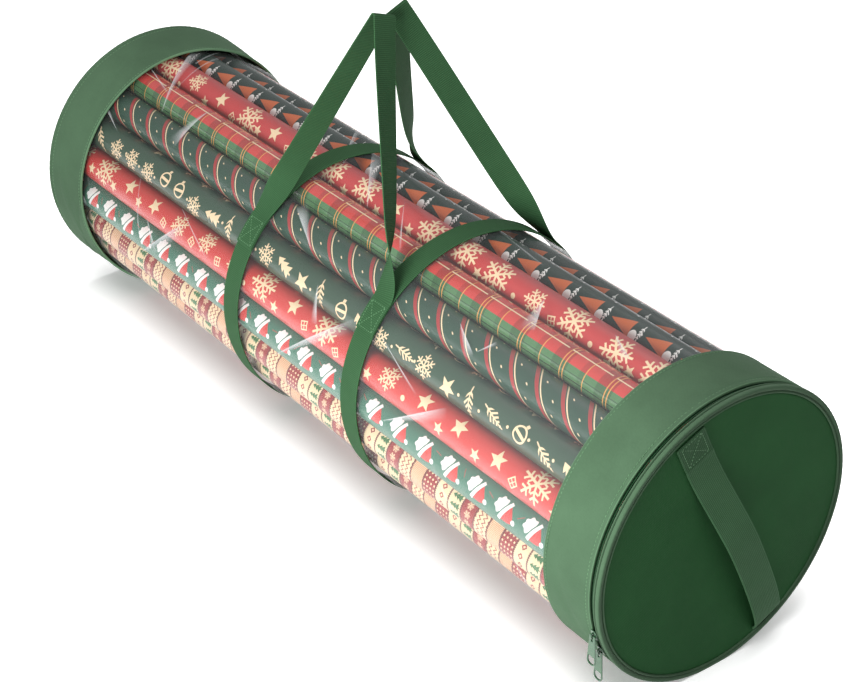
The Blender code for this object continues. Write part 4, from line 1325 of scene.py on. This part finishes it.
def rounded_outline(corners, radius, steps=6):
    """Corners of (x, y) turned into arcs of one radius, or of one each, as an array of points."""
    corners = np.array(corners, float)
    radius = np.broadcast_to(np.asarray(radius, float), len(corners))[:, None]
    before, after = unit(np.roll(corners, 1, 0) - corners), unit(np.roll(corners, -1, 0) - corners)
    half = np.arccos(np.clip((before * after).sum(1, keepdims=True), -1, 1)) / 2
    middle = corners + unit(before + after) * (radius / np.sin(half))
    arms = (side * (radius / np.tan(half)) + corners - middle for side in (before, after))
    start, end = (np.arctan2(arm[:, 1:], arm[:, :1]) for arm in arms)
    sweep = (end - start + math.pi) % TURN - math.pi
    angle = start + sweep * np.linspace(0, 1, steps + 1)
    return (middle[:, None] + radius[..., None] * together(np.cos(angle), np.sin(angle))).reshape(-1, 2)


def crowned_plate(length, width, thickness, level, crown=0.0, point=0.0):
    """A plate that narrows to a rounded nose: an oval outline, and a face that rises to a crown.

    Returns points of (rows, columns, 3) with x across, y along and z through, round a level.
    """
    turn = np.linspace(0, TURN, 40, endpoint=False)
    x, y = (np.sign(wave) * np.abs(wave) ** 0.55 for wave in (np.cos(turn), np.sin(turn)))
    x, y = x * width / 2, y * length / 2
    x = x * (1 - point * (y / length + 0.5))
    shares = np.array([0.02, 0.35, 0.7, 0.9, 1.0, 1.0, 0.9, 0.5, 0.02])[:, None]
    levels = np.array([1 + crown, 1 + crown * 0.85, 1 + crown * 0.4, 0.95, 0.55, -0.55, -0.95, -1, -1])
    return together(shares * x, shares * y, level + levels[:, None] * thickness / 2)


class ORGANIZER_OT_sliders(OrganizerPiece, bpy.types.Operator):
    """The zip's two sliders and their pulls"""

    bl_idname = "organizer.sliders"
    bl_label = "Sliders"

    def make(self):
        paint = Paint("painted slider")
        wear = paint.noise(paint.place(), 380, 3, 0.6)
        fine = paint.noise(paint.place(), 1500, 2, 0.6)
        look = paint.finish(
            Base_Color=paint.shade(hue("zip_metal"), 0.82 + wear * 0.36),
            Roughness=0.26 + wear * 0.2,
            Metallic=0.25,
            Coat_Weight=0.5,
            Normal=paint.bump(fine, 0.05 * MM, 0.3),
        )
        for number, angle in enumerate(SLIDER_ANGLES, 1):
            self.make_slider(number, angle, look)
            self.make_pull(number, angle, look)

    def make_slider(self, number, angle, look):
        """Two crowned plates, the neck and post between them, and an arch carried along a half-oval."""
        shapes = [
            crowned_plate(12.6 * MM, 8.2 * MM, 1.1 * MM, RADIUS + 0.95 * MM, 0.5, SLIDER_NOSE),
            crowned_plate(12.2 * MM, 7.8 * MM, 0.8 * MM, RADIUS - 5.58 * MM, 0.0, SLIDER_NOSE),
            crowned_plate(6.0 * MM, 3.6 * MM, 3.2 * MM, RADIUS - 1.0 * MM),
            crowned_plate(5.0 * MM, 0.7 * MM, 3.4 * MM, RADIUS - 3.6 * MM),
        ]
        along = np.linspace(0, math.pi, 20)[:, None]
        y, z = -3.45 * MM * np.cos(along), RADIUS + 1.2 * MM + 3.7 * MM * np.abs(np.sin(along)) ** 0.55
        slopes = unit(np.gradient(np.append(y, z, 1), axis=0))
        ring = np.linspace(0, TURN, 10, endpoint=False)
        wide, thick = 0.8 * MM * np.cos(ring), 0.62 * MM * np.sin(ring)
        shapes.append(together(wide, y - slopes[:, 1:] * thick, z + slopes[:, :1] * thick))
        turn = np.array(Matrix.Rotation(angle - math.pi / 2, 3, "X"))
        skin = Skin()
        for points in shapes:
            skin.grid(points @ turn.T + np.array((CHAIN_X, 0, AXIS_Z)))
        node = f"zip_slider_{number}"
        skin.build(f"zip_slider_body_{number}", [look], f"slider_{number}", "slider", [node])

    def make_pull(self, number, angle, look):
        """A tapered plate with a window for the arch and a hole at its end, hanging straight down."""
        outlines = (
            (((3.6, 0.8), (-3.6, 0.8), (-6.1, -34), (6.1, -34)), (1.0, 1.0, 4.8, 4.8)),
            (((1.1, -0.9), (-1.1, -0.9), (-1.1, -6.3), (1.1, -6.3)), 0.4),
            (((4.3, -23.5), (-4.3, -23.5), (-4.6, -32.5), (4.6, -32.5)), (0.9, 0.9, 3.7, 3.7)),
        )
        outlines = [rounded_outline(*outline) * MM for outline in outlines]
        mesh = flat_curve("pull", outlines, PULL_THICKNESS, PULL_EDGE)
        place = Matrix.Translation(Vector(on_ring(angle, BAR_RADIUS, CHAIN_X)))
        mesh.transform(place @ Matrix.Rotation(math.pi / 2, 4, "X"))
        mesh.shade_smooth()
        mesh.materials.clear()
        mesh.materials.append(look)
        settle(link(f"zip_pull_tab_{number}", mesh), f"pull_{number}", [f"zip_pull_{number}"])


class Strap:
    """A strap's centre line with its width and face directions, and lengths along it."""

    def __init__(self, centres, widths):
        self.centres = centres
        along = unit(np.gradient(centres, axis=0))
        self.widths = unit(widths - along * (widths * along).sum(1, keepdims=True))
        self.faces = np.cross(along, self.widths)
        self.lengths = lengths_along(centres)

    def at(self, u, v, height):
        """The points at lengths u along, v across and a height over the face, and the face directions."""
        centre, width, face = (
            together(*(np.interp(u, self.lengths, part[:, n]) for n in range(3)))
            for part in (self.centres, self.widths, self.faces)
        )
        return centre + width * v[..., None] + face * height, face

    def surface(self, width, thickness, edge, across=14):
        """The strap's grid: a flat rounded section carried along the centre line, and its UV."""
        over, through = (part[:, None] for part in section(width, thickness, edge, across, 3))
        points = self.centres[:, None] + self.widths[:, None] * over + self.faces[:, None] * through
        return points, strip_uv(self.lengths, over[:, 0])

    def stitches(self, runs, height, radius):
        """Stitches along straight runs of ((u, v), (u, v)) on the strap's face, finer than the cloth's."""
        made = []
        pitch, length = sizes().stitch_pitch * 0.8, sizes().stitch_length * 0.8
        for begin, end in runs:
            begin, end = np.array(begin, float), np.array(end, float)
            reach = np.linalg.norm(end - begin)
            count = max(1, int(round(reach / pitch)))
            middle = begin + (end - begin) * ((np.arange(count) + 0.5) / count)[:, None]
            step = (end - begin) / reach * length / 2
            first, face = self.at(*(middle - step).T, height)
            last, _ = self.at(*(middle + step).T, height)
            made.append((first, last, face * np.sign(height)))
        return threads(*(np.concatenate(part) for part in zip(*made)), radius)


def box_stitch(start, end, half):
    """A stitched box with a cross in it."""
    return (
        ((start, -half), (end, -half)),
        ((start, half), (end, half)),
        ((start, -half), (start, half)),
        ((end, -half), (end, half)),
        ((start, -half), (end, half)),
        ((start, half), (end, -half)),
    )


class ORGANIZER_OT_lid_strap(OrganizerPiece, bpy.types.Operator):
    """The webbing strap across the lid"""

    bl_idname = "organizer.lid_strap"
    bl_label = "Lid strap"

    def make(self):
        """The centre line runs flat, rises by a smooth step, and falls along an arc near its lower end."""
        seam = RIM_BORE - SEWN_GAP - 1.2 * MM
        half = math.sqrt(seam**2 - (LID_STRAP_OFFSET + LID_STRAP_WIDTH / 2) ** 2)
        down = np.array((0, math.sin(LID_STRAP_TILT), -math.cos(LID_STRAP_TILT)))
        across = np.array((0, math.cos(LID_STRAP_TILT), math.sin(LID_STRAP_TILT)))
        rest = LID_PANEL[1].x + SEWN_GAP + LID_STRAP_THICKNESS / 2
        rise = LID_RIM[1].x + LID_STRAP_BOW + LID_STRAP_THICKNESS / 2 - rest
        share = np.linspace(0, 1, 160)
        risen, fallen = ((share - low) / (high - low) for low, high in (LID_STRAP_RISE, LID_STRAP_FALL))
        centres = AXIS + across * LID_STRAP_OFFSET + down * (half * (2 * share - 1))[:, None]
        lift = rise * smooth(risen) * np.sqrt(1 - fallen.clip(0, 1) ** 2)
        centres[:, 0] = rest + lift + 0.9 * MM * bell(share, LID_STRAP_RISE[0], 0.008)
        strap = Strap(centres, np.tile(across, (160, 1)))
        look = webbing_look("lid webbing", hue("lid_webbing"), LID_STRAP_WIDTH, True, 31.5 * MM)
        skin = Skin().grid(*strap.surface(LID_STRAP_WIDTH, LID_STRAP_THICKNESS, 0.6 * MM, 18))
        skin.build("lid_strap_webbing", [look], "lid", "lid_webbing", ["lid_handle"])
        total, edge = strap.lengths[-1], 12.5 * MM
        runs = (*box_stitch(3 * MM, 29 * MM, edge), *box_stitch(total - 5 * MM, total - 2.5 * MM, edge)[:3])
        height = LID_STRAP_THICKNESS / 2 * (1 if strap.faces[0, 0] > 0 else -1)
        skin = Skin().grid(strap.stitches(runs, height, sizes().thread_radius * 1.1))
        skin.build("lid_strap_stitches", [thread_look()], "lid", "lid_webbing")


def bezier(a, b, c, d, share):
    """Points on a cubic curve."""
    share = share[:, None]
    rest = 1 - share
    return a * rest**3 + b * 3 * rest**2 * share + c * 3 * rest * share**2 + d * share**3


def seam_angle(side):
    """Where a handle's seam lies round the bag: side is -1 for the near handle and 1 for the far one."""
    return math.pi - TAB_ANGLE if side < 0 else TAB_ANGLE


def leaving(side):
    """The direction in which a leg leaves its band, along the band's curve."""
    return np.array((0, -side * math.sin(TAB_ANGLE), math.cos(TAB_ANGLE)))


def handle_leg(side, foot_x, peak, end, facing):
    """A leg's centre line and width directions: level at its foot, turned by a quarter turn at the fold."""
    radius = TAB_RADIUS + STRAP_THICKNESS / 2
    foot = on_ring(seam_angle(side) + side * 0.3 * MM / radius, radius, foot_x)
    share = np.linspace(0, 1, 90) ** 1.15
    centres = bezier(foot, foot + leaving(side) * LEG_LEAD, end - unit(peak - foot) * LEG_TAIL, end, share)
    along = unit(np.gradient(centres, axis=0))
    length = lengths_along(centres)
    u = length / length[-1]
    early = 1 - np.exp(-((u / TWIST_REACH) ** 2))
    twist = (math.pi / 2 * early * (TWIST_EARLY + (1 - TWIST_EARLY) * u))[:, None]
    flat = unit(np.array((1.0, 0, 0)) - along * along[:, :1])
    level = np.cross(along, flat)
    level = level * np.where(level[:, 1:2] < 0, -1, 1)
    return centres, flat * facing * np.cos(twist) + level * np.sin(twist)


def tab_line(side, x, count=16):
    """The sewn end's centre line on its band, from its free end up to the seam."""
    radius = TAB_RADIUS + STRAP_THICKNESS / 2
    seam = seam_angle(side)
    angles = np.linspace(seam - side * TAB_LENGTH / TAB_RADIUS, seam - side * 0.5 * MM / radius, count)
    return on_ring(angles, radius, x)


def handle_strap(side, peak):
    """The whole handle: a tab, a leg, the fold over the top, the other leg and its tab."""
    lean = unit((peak - on_ring(seam_angle(side), TAB_RADIUS, 0)) * (0, 1, 1))
    rise = math.atan2(PEAK_RISE - TAB_RADIUS * math.sin(TAB_ANGLE), (FRONT_BAND_X - REAR_BAND_X) / 2)
    turn = rise * np.linspace(1, -1, 15)[:, None]
    over = lean * np.cos(turn) - np.sin(turn) * (1, 0, 0)
    fold = peak - lean * FOLD_RADIUS + over * FOLD_RADIUS
    level = np.cross((1.0, 0, 0), lean)
    level = level * (-1 if level[1] < 0 else 1)
    rear, rear_widths = handle_leg(side, REAR_BAND_X, peak, fold[0], -side)
    front, front_widths = handle_leg(side, FRONT_BAND_X, peak, fold[-1], side)
    rear_tab, front_tab = tab_line(side, REAR_BAND_X), tab_line(side, FRONT_BAND_X)[::-1]
    centres = [rear_tab, rear[:-1], fold, front[-2::-1], front_tab]
    widths = [rear_widths[0], rear_widths[:-1], level, front_widths[-2::-1], front_widths[0]]
    widths = [np.broadcast_to(width, line.shape) for width, line in zip(widths, centres)]
    return Strap(np.concatenate(centres), np.concatenate(widths))


class ORGANIZER_OT_webbing(OrganizerPiece, bpy.types.Operator):
    """The bands round the sleeve and the two carry handles"""

    bl_idname = "organizer.webbing"
    bl_label = "Bands and carry handles"

    def make(self):
        look, thread = webbing_look("green webbing", hue("webbing"), STRAP_WIDTH), thread_look()
        angles = np.linspace(0, TURN, 300, endpoint=False)
        over, through = section(STRAP_WIDTH, STRAP_THICKNESS, 0.5 * MM, 14, 3)
        for name, x, seed in (("rear", REAR_BAND_X, 15), ("front", FRONT_BAND_X, 19)):
            wave = np.minimum(ripple(angles[:, None], over, 5, 7, seed) * 0.05 * MM, 0.1 * MM)
            points = on_ring(angles[:, None], BAND_RADIUS - STRAP_THICKNESS / 2 + through + wave, x + over)
            skin = Skin().grid(rest_on_floor(points), ring_uv(angles, over, BAND_RADIUS), ring=True)
            skin.build(f"{name}_band_webbing", [look], "bag", "webbing", [f"{name}_band"])
        for name, side, peak in (("near", -1, NEAR_PEAK), ("far", 1, FAR_PEAK)):
            self.make_handle(name, side, peak, look, thread)

    def make_handle(self, name, side, peak, look, thread):
        """One length of webbing from sewn tab to sewn tab over the top, and the stitches on both tabs."""
        strap = handle_strap(side, peak)
        seam = Vector(on_ring(seam_angle(side), TAB_RADIUS + STRAP_THICKNESS + SEWN_GAP, 0))
        climb = Vector(leaving(side))
        blend = (f"handle_{name}", seam - climb * 1 * MM, seam + climb * 9 * MM)
        nodes = [f"carry_handle_{name}", f"handle_tab_{name}_rear", f"handle_tab_{name}_front"]
        skin = Skin().grid(*strap.surface(STRAP_WIDTH, STRAP_THICKNESS, 0.5 * MM))
        skin.build(f"{name}_carry_webbing", [look], "bag", "webbing", nodes, blend)
        total, half = strap.lengths[-1], STRAP_WIDTH / 2 - 3 * MM
        skin = Skin()
        for face, start, end in (
            (strap.faces[2], 3 * MM, TAB_LENGTH - 4 * MM),
            (strap.faces[-3], total - TAB_LENGTH + 4 * MM, total - 3 * MM),
        ):
            height = STRAP_THICKNESS / 2 * (1 if face @ radial(seam_angle(side)) > 0 else -1)
            skin.grid(strap.stitches(box_stitch(start, end, half), height, sizes().thread_radius))
        skin.build(f"{name}_tab_stitches", [thread], "bag", "webbing")


class ORGANIZER_OT_rolls(OrganizerPiece, bpy.types.Operator):
    """The rolls of printed wrap"""

    bl_idname = "organizer.rolls"
    bl_label = "Rolls of wrap"

    def make(self):
        """Each roll's outer face is one turn of a spiral, so the sheet's free edge stands as a small step."""
        looks = papers()
        edge = plain_look("paper edge", hue("white"), 1500, 0.72, 0.35, 0.8, 1, stretch=(0.02, 1, 1))
        core = plain_look("cardboard core", hue("core"), 160, 0.7, 0.55, 0.86, 4, 0.4, (0.2, 1, 1))
        source = np.random.default_rng(21)
        bore, step, lip = ROLL_RADIUS - 4.2 * MM, 0.35 * MM, 0.5 * MM
        for number in range(ROLL_COUNT):
            node = f"wrap_roll_{number + 1:02d}"
            low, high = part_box(node)
            facing = FIRST_ROLL + number * TURN / ROLL_COUNT
            turned = facing - SHOWN_ANGLE if number in TURNED_ROLLS else 0
            sweep = np.linspace(0, TURN, 72, endpoint=False) + turned
            start, slide = source.uniform(0, TURN), source.uniform(0, 0.4)
            slot = PRINT_ORDER[number]
            slide = KNIT_SLIDE if slot == KNIT_SLOT else slide
            outer = ROLL_RADIUS - 0.05 * MM - step * ((sweep - start) % TURN) / TURN
            xs = np.linspace(low.x + 0.6 * MM, high.x - 0.6 * MM, 24)
            x = np.concatenate([[low.x], xs, [high.x, high.x, high.x - lip, low.x + lip, low.x]])
            face = outer[:, None] * np.concatenate([[0.985], np.ones(24), [0.985]])
            inside = np.tile((bore + 1.2 * MM, bore, bore, bore + 1.2 * MM), (72, 1))
            a, r = sweep[:, None], np.append(face, inside, 1)
            points = together(x, (low.y + high.y) / 2 + r * np.cos(a), (low.z + high.z) / 2 + r * np.sin(a))
            uv = strip_uv(np.linspace(0, TURN, 73) * ROLL_RADIUS, x + slide)[..., ::-1]
            skin = Skin().grid(points, uv, np.repeat((0, 1, 2, 1), (25, 1, 3, 1)), ring=True)
            print_looks = [looks[slot], edge, core]
            skin.build(f"wrap_print_{number + 1:02d}", print_looks, "bag", f"wrap_{slot + 1}", [node])


class ORGANIZER_OT_stiffeners(OrganizerPiece, bpy.types.Operator):
    """The boards and hoops that stay as they are, with their own finishes"""

    bl_idname = "organizer.stiffeners"
    bl_label = "Boards and hoops"

    def make(self):
        board = plain_look("grey board", (0.36, 0.34, 0.31), 90, 0.75, 0.45, 0.85, 4, 0.3)
        stay = plain_look("plastic stay", (0.70, 0.71, 0.70), 40, 0.9, 0.15, 0.38)
        looks = {"base_board": board, "lid_board": board, "front_hoop": stay, "rear_hoop": stay}
        for node, look in looks.items():
            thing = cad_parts[node]
            thing.data.materials.clear()
            thing.data.materials.append(look)


class ORGANIZER_PT_panel(bpy.types.Panel):
    """The organizer's sizes, colours and pieces"""

    bl_idname = "ORGANIZER_PT_panel"
    bl_label = "Gift wrap organizer"
    bl_space_type = "VIEW_3D"
    bl_region_type = "UI"
    bl_category = "Organizer"

    def draw(self, context):
        for group in (context.scene.organizer_sizes, context.scene.organizer_colours):
            box = self.layout.box()
            for name in group.bl_rna.properties.keys():
                if name not in ("rna_type", "name"):
                    box.prop(group, name)
        for piece in PIECES:
            self.layout.operator(piece.bl_idname)


PIECES = (
    ORGANIZER_OT_stage,
    ORGANIZER_OT_rolls,
    ORGANIZER_OT_sleeve,
    ORGANIZER_OT_collars,
    ORGANIZER_OT_closed_end,
    ORGANIZER_OT_lid,
    ORGANIZER_OT_zip,
    ORGANIZER_OT_sliders,
    ORGANIZER_OT_lid_strap,
    ORGANIZER_OT_webbing,
    ORGANIZER_OT_stiffeners,
)
CLASSES = (OrganizerSizes, OrganizerColours, *PIECES, ORGANIZER_PT_panel)


def register():
    """Add the settings, operators and panel."""
    for kind in CLASSES:
        bpy.utils.register_class(kind)
    bpy.types.Scene.organizer_sizes = bpy.props.PointerProperty(type=OrganizerSizes)
    bpy.types.Scene.organizer_colours = bpy.props.PointerProperty(type=OrganizerColours)


def unregister():
    """Take them away again."""
    del bpy.types.Scene.organizer_colours
    del bpy.types.Scene.organizer_sizes
    for kind in reversed(CLASSES):
        bpy.utils.unregister_class(kind)


def main():
    """Register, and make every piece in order."""
    register()
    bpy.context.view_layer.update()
    for piece in PIECES:
        family, name = piece.bl_idname.split(".")
        getattr(getattr(bpy.ops, family), name)()


if __name__ == "__main__":
    main()
